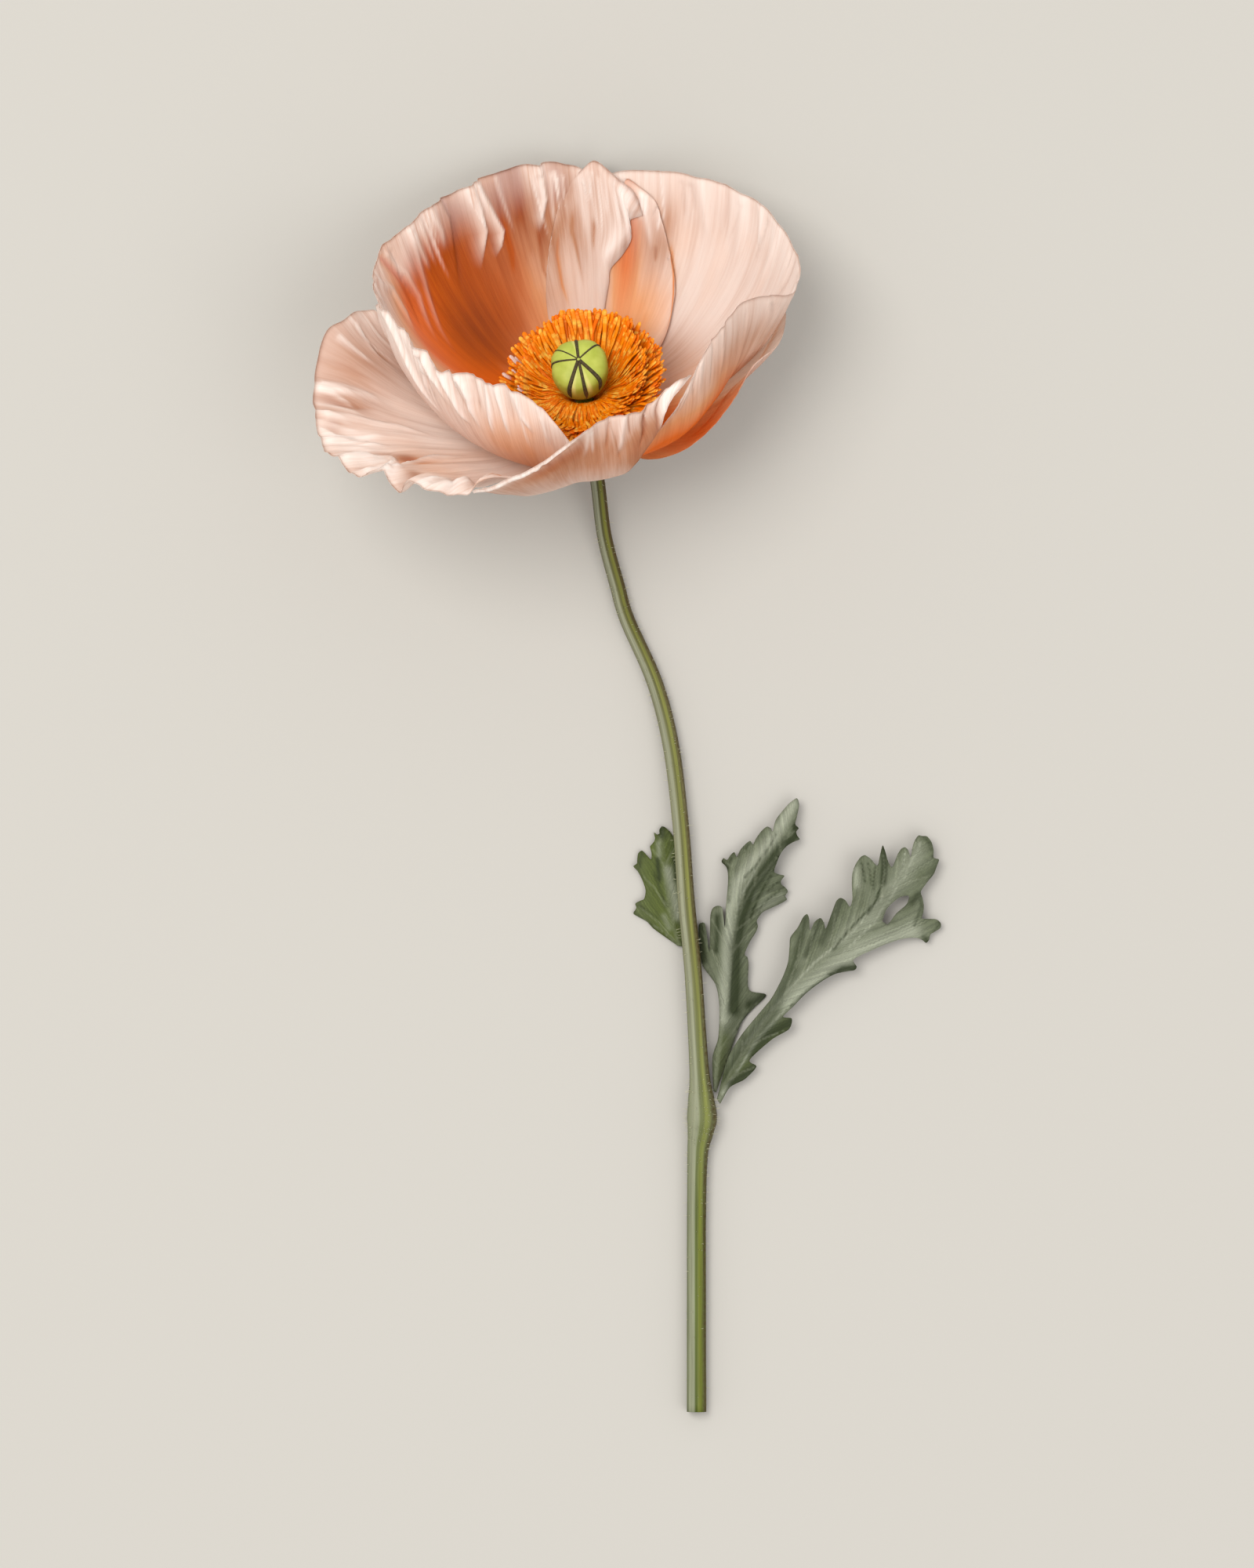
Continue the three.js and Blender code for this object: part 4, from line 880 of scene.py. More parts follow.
def petal_material(name, glow):
    shader = Shader(name)
    pink = colour(238, 222, 212)
    peach = colour(236, 176, 126)
    inner_orange = colour(232, 108, 6)
    cream_and_highlight = colour(248, 240, 234)
    warm_shade = colour(216, 180, 156)
    veins = shader.noise(shader.sheet((1.6, 0.045, 1.0)), detail=4, roughness=0.62)
    broad = shader.noise(shader.sheet((0.55, 0.04, 1.0)), detail=3, roughness=0.55)
    clouds = shader.noise(shader.sheet((0.16, 0.06, 1.0)), detail=2)
    mottled = shader.between(clouds, 0.3, 0.7, -0.06, 0.06)
    orange = shader.math("ADD", shader.attribute("orange"), mottled)
    base = shader.blend(shader.between(orange, 0.0, 0.45), pink, peach)
    base = shader.blend(shader.between(orange, 0.4, 1.05), base, inner_orange)
    # Painted shade: brown, more orange where the petal is orange, and a deeper brown where the shade tone
    # passes 1.
    dusk = shader.blend(shader.between(orange, 0.1, 0.8), colour(182, 126, 90), colour(182, 84, 16))
    painted_shade_depth = shader.times(shader.attribute("dusk"), shader.between(broad, 0.3, 0.7, 0.82, 1.12))
    base = shader.blend(shader.between(painted_shade_depth, 0.0, 1.0, 0.0, 0.95), base, dusk)
    base = shader.blend(shader.between(painted_shade_depth, 1.0, 2.0), base, colour(150, 68, 20))
    # The pale rim and painted highlight, towards cream.
    pale_and_highlight_amount = shader.times(shader.attribute("pale"), shader.between(veins, 0.35, 0.65, 0.7, 1.1))
    base = shader.blend(shader.between(pale_and_highlight_amount, 0.0, 1.0, 0.0, 0.9), base, cream_and_highlight)
    depth = shader.math("ADD", shader.times(shader.attribute("streak"), 0.65), 0.15)
    lines = shader.times(shader.between(veins, 0.42, 0.7), depth)
    base = shader.blend(lines, base, warm_shade, "MULTIPLY")
    bands = shader.times(shader.between(broad, 0.48, 0.75), 0.22)
    base = shader.blend(bands, base, warm_shade, "MULTIPLY")
    fine = shader.noise(shader.sheet((3.2, 0.12, 1.0)), detail=3, roughness=0.6)
    normal = shader.bump(shader.math("ADD", veins, fine), 0.08, 0.5)
    through = shader.between(shader.attribute("thin"), 0.0, 1.0, glow, max(glow, 0.6))
    sockets = {"Base Color": base, "Roughness": 0.62, "Normal": normal, "Specular IOR Level": 0.15}
    return shader.finish(sockets, through)


# ---- Stamens
STAMENS_PER_WHORL = 18
STRANDS_PER_TUFT = 30
WHORLS = {
    "outer": {"root": 3.15, "reach": 16.8, "lift": 0.0, "shift": 0.0},
    "inner": {"root": 2.05, "reach": 13.4, "lift": 3.0, "shift": 0.5},
}
# Half width of a stamen at places from its root (0) to its tip (1).
RIBBON = [[0, 0.16], [0.35, 0.24], [0.7, 0.36], [0.88, 0.48], [0.95, 0.52], [0.985, 0.44], [1, 0.2]]
RIBBON_SIDES = 6
TIP_HEIGHT = 3.0  # mm above the petals' root at the front of the ring
TIP_RISE = 9.4  # mm more at the back of it
GATHER_HEIGHT = 3.1  # mm that the front stamens rise to hide the capsule's stalk
GATHER_RADIUS = 5.0
GATHER_WIDTH = 2.8
SPECKED_ANGLE = 165  # round this angle, within the width, a share of the anthers have a pale speck
SPECKED_WIDTH = 25
SPECKED_SHARE = 0.1


def strand(tufts, angle, root, reach, lift, random):
    """One stamen: a flat wavy filament that widens into its rounded anther, bent up out of the disc."""
    t = np.concatenate([np.linspace(0, 0.86, 10), [0.91, 0.95, 0.98, 1.0]])
    backness = 0.5 + 0.5 * math.sin(math.radians(angle + 20))
    tip_height = TIP_HEIGHT + TIP_RISE * backness + lift * (0.4 + 0.6 * backness)
    tip_height += random.uniform(-1.8, 0.9)
    lobe = soft_noise(np.array(angle / 7.0), np.array(reach), 9)
    reach = reach * (1 + 0.05 * float(lobe)) * random.uniform(0.9, 1.02)
    wave = random.uniform(0.2, 0.7) * np.sin(t * random.uniform(5, 12) + random.uniform(0, 6))
    angles = angle + np.degrees(wave * t / np.maximum(mix(root, reach, t), 4))
    ripple = random.uniform(0.15, 0.4) * np.sin(t * random.uniform(6, 13) + random.uniform(0, 6)) * t
    radius = mix(root, reach, t)
    gathered = GATHER_HEIGHT * (1 - backness) * bump_at(radius, GATHER_RADIUS, GATHER_WIDTH)
    heights = mix(DISC_TOP + SEAT_GAP, tip_height, t**1.35) + ripple + gathered
    middle = in_flower(angles, radius, heights)
    width, = smooth_rows(RIBBON, t)
    width = width * random.uniform(0.75, 1.2) * (1 + 0.1 * np.sin(t * 19 + random.uniform(0, 6)))
    inwards = HEAD_CENTRE - in_flower(angle, 1, 0)
    points, faces = tube(middle, width, RIBBON_SIDES, squash=0.35, up=mix(flower_axis, inwards, 0.4))
    tone = random.uniform(0, 1)
    along = np.concatenate([np.repeat(t, RIBBON_SIDES), [0, 1]])
    near_specks = abs(angle % 360 - SPECKED_ANGLE) < SPECKED_WIDTH
    speck = float(near_specks and random.uniform() < SPECKED_SHARE)
    place = np.stack([np.full(len(along), 40 * tone), along * reach, 0 * along], axis=-1)
    tufts.add(points, faces, tone=tone, tip=along, speck=speck * (along > 0.9), sheet=place)


def stamens(material):
    random = np.random.default_rng(7)
    for whorl_name, whorl in WHORLS.items():
        for number in range(STAMENS_PER_WHORL):
            tuft = Gathered()
            for k in range(STRANDS_PER_TUFT):
                spread = (k + 0.5) / STRANDS_PER_TUFT - 0.5
                angle = (number + whorl["shift"] + spread) * 360 / STAMENS_PER_WHORL
                angle += random.uniform(-1, 1)
                strand(tuft, angle, whorl["root"], whorl["reach"], whorl["lift"], random)
            node = f"stamens_{whorl_name}_{number + 1:02d}"
            tuft.make(node + "_strands", material, "stamen", [node])


def stamen_material():
    shader = Shader("stamen")
    deep = colour(240, 116, 0)
    orange = colour(252, 150, 8)
    yellow = colour(255, 206, 84)
    # One noise gives yellow painted glints where it is high, and a darker orange painted shade between them
    # where it is low.
    glint_and_shade = shader.noise(shader.sheet((1.0, 0.5, 1.0)), detail=4, roughness=0.65)
    base = shader.blend(shader.between(shader.attribute("tone"), 0.0, 0.8), deep, orange)
    base = shader.blend(shader.between(glint_and_shade, 0.5, 0.64, 0.0, 0.95), base, yellow)
    base = shader.blend(shader.between(glint_and_shade, 0.3, 0.42, 0.7, 0.0), base, colour(222, 96, 0))
    root = shader.between(shader.attribute("tip"), 0.0, 0.45, 0.7, 0.0)
    base = shader.blend(root, base, colour(226, 104, 2))
    base = shader.blend(shader.attribute("speck"), base, colour(236, 208, 196))
    return shader.finish({"Base Color": base, "Roughness": 0.4, "Specular IOR Level": 0.2}, glow=0.3)


# ---- Seed capsule
CAPSULE_TILT = 31.0  # degrees that it stands up from the flower's axis
CAPSULE_CENTRE = 10.2  # height of its middle above the petals' root
CAPSULE_HALF = 6.3
# Radius at places from the foot (0) to the crown (1).
CAPSULE_PROFILE = [
    [0, 1.5], [0.1, 1.8], [0.2, 2.9], [0.32, 4.3], [0.45, 5.15], [0.57, 5.6],
    [0.68, 5.75], [0.79, 5.6], [0.87, 5.0], [0.93, 3.9], [0.97, 2.5], [0.993, 1.1], [1.0, 0.2],
]
CAPSULE_SIDES = 84
SQUARENESS = 2.6  # 2 is a round capsule, and more is squarer
VALLEY_WIDTH = 9.0  # degrees that the pleat under a ray is wide
VALLEY_DEPTH = 0.04  # its depth, as a part of the radius
# Each ray's direction on the crown in degrees, how far down the capsule it runs, and its half width.
RAYS = [
    [88, 0.4, 0.42], [38, 0.36, 0.24], [-50, 0.52, 0.5], [-84, 0.66, 0.42], [-118, 0.6, 0.5],
    [172, 0.36, 0.26], [138, 0.34, 0.18],
]
RAY_ROWS = 34
HIGHLIGHT_BESIDE = (88, -84, -118)  # the rays that have a painted highlight beside them, and how far from them it is
HIGHLIGHT_ASIDE = 8
HIGHLIGHT_WIDTH = 4.5
PAINTED_SHADE_SIDE = -35  # the direction of the capsule's side that is painted in shade, away from the light, and its half width
PAINTED_SHADE_WIDTH = 48


def turned_by(turn, centre):
    """Degrees from the centre to a turn, from -180 to 180."""
    return (turn - centre + 180) % 360 - 180


def capsule(material, ray_material):
    foot = in_flower(0, 0, DISC_TOP + SEAT_GAP)
    heart = in_flower(0, 0, CAPSULE_CENTRE)
    tilt = math.radians(HEAD_ELEVATION + CAPSULE_TILT)
    axis = np.array([-math.sin(lean) * math.cos(tilt), math.cos(lean) * math.cos(tilt), math.sin(tilt)])
    crown = heart + axis * CAPSULE_HALF
    t = np.concatenate([np.linspace(0, 0.8, 40), np.linspace(0.81, 1.0, 34)])
    radius, = smooth_rows(CAPSULE_PROFILE, t)
    s = t[:, None]
    middle = (1 - s) ** 2 * foot + 2 * s * (1 - s) * heart + s**2 * crown
    sides = CAPSULE_SIDES
    direction = unit(np.gradient(middle, axis=0))
    sideways = unit(flower_right - direction * (direction @ flower_right)[:, None])
    other = np.cross(direction, sideways)

    def on_axis(values, t_at):
        return np.stack([np.interp(t_at, t, values[:, k]) for k in range(3)], axis=-1)

    def skin(turn, t_at, proud):
        """Points of the capsule's skin, or so many mm proud of it, at turns and places along it."""
        r = np.interp(t_at, t, radius)
        valley = np.zeros(np.broadcast(turn, t_at).shape)
        for ray, _, _ in RAYS:
            valley += np.exp(-((turned_by(turn, ray) / VALLEY_WIDTH) ** 2))
        r = r * (1 - VALLEY_DEPTH * valley * smoothstep(0.25, 0.6, t_at)) + proud
        cosine, sine = np.cos(np.radians(turn)), np.sin(np.radians(turn))
        squarer = (np.abs(cosine) ** SQUARENESS + np.abs(sine) ** SQUARENESS) ** (-1 / SQUARENESS)
        r = r * np.where(sine > 0, squarer, mix(1.0, squarer, 0.3))
        return on_axis(middle, t_at) + on_axis(sideways, t_at) * (r * cosine)[..., None] + (
            on_axis(other, t_at) * (r * sine)[..., None]
        )

    turn = 360 * np.arange(sides) / sides
    grid = skin(turn[None, :], t[:, None] * np.ones(sides), 0.0)
    points = np.concatenate([grid.reshape(-1, 3), middle[:1], middle[-1:]])
    place = np.concatenate([np.repeat(t, sides), [0, 1]])
    around = np.concatenate([np.tile(turn, len(t)), [0, 0]])
    # Painted shade on the capsule's side away from the key light.
    right = 0.8 * bump_at(turned_by(around, PAINTED_SHADE_SIDE), 0, PAINTED_SHADE_WIDTH)
    right = right * smoothstep(0.0, 0.3, 0.97 - place)
    # Painted highlight: pale bands beside some rays.
    bands = [turned_by(around, ray + HIGHLIGHT_ASIDE) for ray in HIGHLIGHT_BESIDE]
    beside_ray = sum(bump_at(band, 0, HIGHLIGHT_WIDTH) for band in bands)
    beside_ray = 0.8 * beside_ray * bump_at(place, 0.78, 0.2)
    add_piece(
        "capsule_body", points, ring_faces(len(t), sides), material, "capsule", ["capsule"],
        along=place, right=right, beside_ray=np.clip(beside_ray, 0, 1),
    )

    rays = Gathered()
    for ray, length, half_width in RAYS:
        t_at = np.linspace(0.9995, 1.0 - length, RAY_ROWS)
        wander = ray + 1.5 * np.sin(np.linspace(0, 4, RAY_ROWS) + ray)
        line = skin(wander, t_at, 0.02)
        # It widens from the crown, then narrows to its end.
        thick = half_width * np.clip(np.linspace(0.75, 1.3, RAY_ROWS), 0, 1)
        thick *= np.clip(np.linspace(3.0, 0.2, RAY_ROWS), 0, 1)
        outwards = unit(line - on_axis(middle, t_at - 0.06))
        points, faces = tube(line, thick, 6, squash=0.7, up=outwards.mean(axis=0))
        rays.add(points, faces)
    rays.make("stigma_rays", ray_material, "capsule")


def capsule_material():
    shader = Shader("capsule")
    spots = shader.noise(shader.in_space(500), 3)
    base = shader.blend(shader.between(spots, 0.3, 0.7), colour(156, 166, 62), colour(174, 182, 82))
    low = shader.between(shader.attribute("along"), 0.3, 0.8, 0.6, 0.0)
    base = shader.blend(low, base, colour(118, 124, 20))
    # Painted shade, dark olive, on the side away from the light.
    base = shader.blend(shader.attribute("right"), base, colour(116, 118, 8))
    # Painted highlight, pale yellow, beside the rays.
    base = shader.blend(shader.attribute("beside_ray"), base, colour(228, 220, 140))
    normal = shader.bump(spots, 0.05, 0.4)
    sockets = {"Base Color": base, "Roughness": 0.45, "Specular IOR Level": 0.25, "Normal": normal}
    return shader.finish(sockets, glow=0.05)


def ray_material():
    shader = Shader("stigma_ray")
    spots = shader.noise(shader.in_space(3000))
    base = shader.blend(shader.between(spots, 0.35, 0.65), colour(40, 30, 10), colour(74, 62, 22))
    return shader.finish({"Base Color": base, "Roughness": 0.8})


# ---- Stem
NECK_DEPTH = 6.0
# The middle of the stem (X, Y, Z) and its radius, from the neck to the cut end, as in the CAD model.
STEM_ROUTE = [
    [-6, 61.5, 8.6, 1.45], [-4.6, 50.5, 3.6, 1.45], [-2, 40.5, 1.9, 1.5], [0, 33.6, 1.7, 1.5],
    [5.6, 20.8, 1.8, 1.6], [8.9, 8, 2.2, 1.65], [10.9, -8, 3.1, 1.65], [12.1, -24, 3.3, 1.7],
    [13.6, -40, 3.1, 1.75], [14.7, -58, 2.7, 1.95], [15.1, -64, 2.9, 2.6], [15.3, -68, 3.05, 3],
    [15, -71, 2.6, 2.6], [14.4, -76, 2.2, 2.05], [14.2, -90, 2, 1.9], [14.2, -128, 1.95, 1.95],
]
# The stem's top, from the disc that carries the flower down to the neck: height on the flower's
# axis, radius.
DISC_AND_NECK = [
    [DISC_TOP, 3.35], [1.5, 3.62], [1.27, 3.7], [1.05, 3.62], [0.85, 3.4], [0.6, 1.9], [-3.0, 1.9],
    [-5.4, 1.72],
]
STEM_SIDES = 48
STEM_RIBS = 11
RIB_HEIGHT = 0.035  # as a part of the stem's radius
ROUGHNESS = 0.012
HAIRS = 700
HAIR_RADII = [0.045, 0.035, 0.012]


def stem(material, hair_material):
    foot = in_flower(0, 0, -1.5 * NECK_DEPTH)
    line = smooth_line([[*foot, STEM_ROUTE[0][3]]] + STEM_ROUTE, 24)
    head = np.array(DISC_AND_NECK)
    centre = in_flower(0, 0, head[:, 0])
    middle = np.concatenate([centre, line[:, :3]])
    radii = np.concatenate([head[:, 1], line[:, 3]])
    turn = 2 * np.pi * np.arange(STEM_SIDES) / STEM_SIDES
    length = np.concatenate([[0], np.cumsum(np.linalg.norm(np.diff(middle, axis=0), axis=1))])
    twist = 0.25 * np.sin(length / 60)
    ridges = np.cos(STEM_RIBS * (turn + twist[:, None]))
    ribs = RIB_HEIGHT * ridges
    ribs = ribs + ROUGHNESS * rough_noise(turn * 5 + 0 * ridges, length[:, None] / 12 + 0 * ridges, 5)
    ribs[: len(head)] = 0
    around = radii[:, None] * (1 + ribs)
    points, faces = tube(middle, around, STEM_SIDES)
    place = np.concatenate([np.repeat(length, STEM_SIDES), [0, length[-1]]])
    rib = np.append(ridges.ravel(), [0, 0])
    aside = np.append(np.tile(-np.cos(turn), len(middle)), [0, 0])
    around_mm = np.append(np.tile(turn * 2, len(middle)), [0, 0])
    add_piece(
        "stem_skin", points, faces, material, "stem", ["stem"],
        sheet=np.column_stack([around_mm, place, 0 * place]), length=place, rib=rib, aside=aside,
    )
    random = np.random.default_rng(21)
    hairs = Gathered()
    for _ in range(HAIRS):
        i = random.integers(len(head) + 2, len(middle) - 2)
        a = random.uniform(0, 2 * np.pi)
        ring = points[i * STEM_SIDES:(i + 1) * STEM_SIDES]
        root = ring[int(a / (2 * np.pi) * STEM_SIDES) % STEM_SIDES]
        away = unit(root - middle[i])
        lean_to = unit(random.normal(size=3))
        tip = root + away * random.uniform(0.5, 1.1) + lean_to * 0.25
        if tip[2] < 0.1:
            continue
        hairs.add(*tube(np.stack([root - away * 0.1, mix(root, tip, 0.5), tip]), HAIR_RADII, 3))
    hairs.make("stem_hairs", hair_material, "stem")


def stem_material():
    shader = Shader("stem")
    length = shader.attribute("length")
    top = shader.blend(shader.between(length, 5, 35), colour(36, 24, 2), colour(64, 54, 14))
    upper = shader.blend(shader.between(length, 30, 75), top, colour(98, 96, 62))
    lower = shader.blend(shader.between(length, 120, 150), upper, colour(100, 106, 72))
    base = shader.blend(shader.between(length, 152, 175), lower, colour(70, 82, 24))
    aside = shader.attribute("aside")
    streaks = shader.noise(shader.sheet((2.4, 0.05, 1)), detail=3, roughness=0.6)
    dots = shader.noise(shader.sheet((1.5, 1.2, 1)), detail=3, roughness=0.7)
    light = shader.between(shader.attribute("rib"), -1.0, 1.0, 0.0, 0.3)
    base = shader.blend(light, base, colour(108, 110, 74))
    # Stripes along the stem: the noise or place that starts and ends each, and its colour.
    for start, end, tint in (
        # Painted highlight: a pale stripe on the side that faces the key light.
        ((aside, -0.95, -0.7, 0.35, 0.75), (aside, -0.3, -0.1, 1.0, 0.0), colour(134, 136, 114)),
        ((aside, 0.0, 0.25), (aside, 0.4, 0.7, 0.5, 0.0), colour(114, 118, 40)),
        ((aside, -0.2, -0.05), (aside, 0.05, 0.2, 0.35, 0.0), colour(66, 72, 22)),
        # Painted shade: brown on the side away from the key light, broken up by dots.
        ((aside, 0.5, 0.85, 0.0, 0.9), (dots, 0.4, 0.6, 0.4, 1.0), colour(66, 48, 20)),
    ):
        base = shader.blend(shader.times(shader.between(*start), shader.between(*end)), base, tint)
    base = shader.shaded(base, shader.between(streaks, 0.3, 0.7, 0.72, 1.12))
    normal = shader.bump(streaks, 0.08, 0.6)
    sockets = {"Base Color": base, "Roughness": 0.5, "Specular IOR Level": 0.15, "Normal": normal}
    return shader.finish(sockets)


def hair_material():
    shader = Shader("stem_hair")
    spots = shader.noise(shader.in_space(300))
    base = shader.blend(spots, colour(150, 150, 120), colour(205, 200, 170))
    return shader.finish({"Base Color": base, "Roughness": 0.7})


# ---- Leaves
LEAF_THICKNESS = 0.42
LEAF_GRAIN = 0.45  # mm between the points inside a leaf
OUTLINE_GAP = 0.45  # mm that they keep from its outline, and from its slit
SLIT_GAP = 0.35
GRAIN_ROWS = 0.87  # how far apart their rows are, as a part of the grain, for even triangles
GRAIN_JITTER = 0.08
OUTLINE_TENSION = 0.8  # 1 rounds the lobes fully
LEAF_FLOOR = 0.08  # mm that a leaf keeps clear of the surface, and the least where it is thicker
LEAF_LEAST = 0.06
LEAF_SHEET_GAP = 40.0  # how far apart two leaves lie in the noise that colours them
VEIN_RUN = 2.0  # mm that a vein runs along the leaf for each mm that it runs out from the midrib
VEIN_SLANT = 1.6  # mm nearer the root that a vein leaves the midrib, for each mm that its lobe stands out
VEIN_WIDTH = 0.28
MIDRIB_WIDTH = 0.5
MIDRIB_REACH = 0.7  # mm from the midrib over which the leaf is thicker
MIDRIB_SWELL = 0.9  # how much thicker it is there, near the root
# The slopes on the midrib's two sides, the midrib from the root to the tip (X, Y, Z), and the outline
# of each side (X, Y) through the tips of its lobes and the notches between them. The slopes and the
# midribs are the CAD model's, and the outlines have finer teeth than its.
LEAVES = [
    {
        "name": "leaf_right", "left_slope": 0.18, "right_slope": 0.34,
        "midrib": [
            [18.6, -64.9, 3.4], [20.8, -59.5, 4.2], [24, -54.4, 4.8], [28.6, -47.8, 5.4], [34.4, -40.8, 6],
            [41, -34.5, 6.2], [48, -27.5, 5.8], [54, -20.5, 5], [60.2, -10.6, 3.4],
        ],
        "left": [
            [18.3, -64.2], [20.5, -56], [23.4, -51], [27, -46.6], [29.5, -43.5], [31.7, -39.3],
            [32.8, -36.2], [33.1, -33.1], [33.3, -31.2], [34.8, -29.2], [35.9, -27.1], [36.7, -26.5],
            [37.1, -27.4], [37.3, -29.8], [38.2, -28.1], [39.4, -27.3], [40.1, -28.2], [40.5, -29.4],
            [41.6, -26.5], [42.6, -23.9], [43.5, -23.2], [44.5, -23.7], [45.4, -25], [45.9, -23.4],
            [45.8, -20.5], [45.9, -18.2], [46.6, -16.3], [47.6, -14.9], [48.5, -14.5], [49.7, -15.3],
            [51, -16.6], [51.6, -14.2], [52.1, -12.5], [52.7, -14], [53.2, -15.8], [54, -16.9],
            [55.2, -14.2], [56, -13.1], [56.7, -12.9], [57.3, -13.5], [57.8, -14.9], [58.1, -13.2],
            [58.6, -11.6], [59.4, -10.5],
        ],
        "right": [
            [19, -65.2], [21, -61.8], [24, -60.2], [26.4, -57.6], [25, -56.2], [29.6, -52], [33, -50],
            [33.6, -47.8], [31.8, -47.4], [33.8, -45.4], [36.4, -42.7], [39.5, -40.3], [42.4, -38.7],
            [44.8, -38.2], [46.4, -37.9], [46.8, -37.2], [46.1, -35.9], [47.6, -34.9], [50, -33.8],
            [52.6, -32.7], [55.2, -31.8], [57.3, -31.4], [59.1, -31.4], [60.2, -31.8], [61, -32.4],
            [61.6, -31.8], [61.9, -30.7], [62.8, -30.1], [63.9, -29.4], [64, -28.4], [63.1, -27.6],
            [61.5, -27.5], [60.1, -27.4], [60.4, -26.3], [60.5, -24.7], [60.2, -23.1], [59.9, -21.9],
            [61.2, -20], [62.5, -18.4], [63.1, -16.9], [63.6, -15.4], [62.5, -15], [62.5, -13.5],
            [62.1, -11.9], [61.2, -10.7],
        ],
    },
    {
        "name": "leaf_middle", "left_slope": 0.5, "right_slope": 0.62,
        "midrib": [
            [17.9, -63.2, 1.6], [18.6, -55.5, 2.2], [19.8, -47.4, 3], [20.8, -40.3, 3.8],
            [21.6, -32.8, 4.6], [23, -26.2, 5.2], [25.9, -20.6, 5.4], [30.6, -14.6, 5], [33.2, -8.5, 4.2],
            [34.9, -3.2, 3],
        ],
        "left": [
            [17.6, -62.6], [17.4, -55.8], [18.6, -51.7], [18.8, -45.1], [18, -40.8], [15.4, -37],
            [14.8, -33], [14.6, -29], [15.2, -28.3], [15.9, -28.5], [16.3, -31], [16.8, -34.2], [16.9, -30],
            [17, -26.8], [17.5, -25.3], [18.5, -24.8], [19.4, -25.2], [19.7, -27.4], [19.95, -29.2],
            [20.2, -24.4], [20.5, -21.3], [20.6, -18.8], [20.3, -17], [19.3, -15.9], [19.7, -15.1],
            [20.4, -15.5], [21.1, -14.5], [21.9, -13.9], [22.4, -14.9], [23, -13.6], [24, -12.4],
            [25.1, -11.6], [25.7, -12.3], [26.3, -11.1], [27.4, -9.6], [28.5, -8.7], [29.3, -9],
            [29.7, -9.6], [30.3, -7.4], [31.6, -5.6], [33.1, -3.9], [34.5, -2.9],
        ],
        "right": [
            [18.2, -62.9], [20.4, -56.5], [23.2, -49], [25.6, -46], [28.4, -43], [24.9, -42], [24.8, -37],
            [24.6, -35.4], [24, -34.6], [25.1, -32.1], [26.3, -30.2], [26.7, -29], [26.5, -27.8],
            [27.6, -26.2], [29.4, -25.3], [31.3, -24.4], [32.6, -23.6], [32.3, -22.8], [32.8, -21.9],
            [32.3, -21.1], [31.5, -20.5], [31.4, -19.7], [32.1, -18.7], [31, -18.4], [30, -17.9],
            [30.5, -16.1], [31.3, -14.2], [32.5, -12.7], [34, -11.8], [35.2, -11.3], [34.7, -10.5],
            [34.5, -9.7], [35, -9], [34.3, -8.2], [34.6, -6.8], [35.1, -4.4],
        ],
    },
    {
        "name": "leaf_left", "left_slope": 0.06, "right_slope": 0.16,
        "midrib": [[10.9, -33.6, 0.9], [9.4, -28.5, 1], [8.2, -22, 1.1], [7.6, -15, 1.1], [7.1, -8.6, 0.9]],
        "left": [
            [10.3, -33], [9.2, -32.2], [7.2, -30.8], [5.3, -29.4], [4.1, -28.1], [2.3, -27.1], [1.3, -26.4],
            [1.9, -25.3], [1.7, -24.4], [2.7, -23.8], [3.5, -23.4], [3.8, -21.8], [3.4, -20.3],
            [2.8, -18.9], [2.1, -17.7], [1.3, -16.8], [2, -16.2], [2.1, -15.2], [2.3, -14.1], [3.1, -13.6],
            [4.1, -14.6], [4.9, -15.4], [5, -14.1], [4.7, -12.8], [5.4, -11.9], [5.7, -11.1], [5.5, -9.9],
            [6.1, -10.3], [6.6, -10.1], [6.6, -9.3],
        ],
        "right": [
            [11.5, -33.2], [11.7, -28], [11.6, -22], [11, -17.5], [10.2, -15], [10, -12.4], [9.2, -10.3],
            [7.9, -8.9],
        ],
    },
]
# The slit in the right leaf (X, Y).
SLIT = [
    [52, -28], [53, -25.4], [55.4, -23.2], [57.4, -22.8], [57, -24.5], [54.9, -26.4], [53.2, -28.5],
]
SLIT_DIP = [54.8, -25.4, 3.2, 2.4]  # X and Y of its middle, how far round it the blade dips, how deep
LOWEST_DIP = 0.3  # mm that the middle of the blade keeps above the surface there
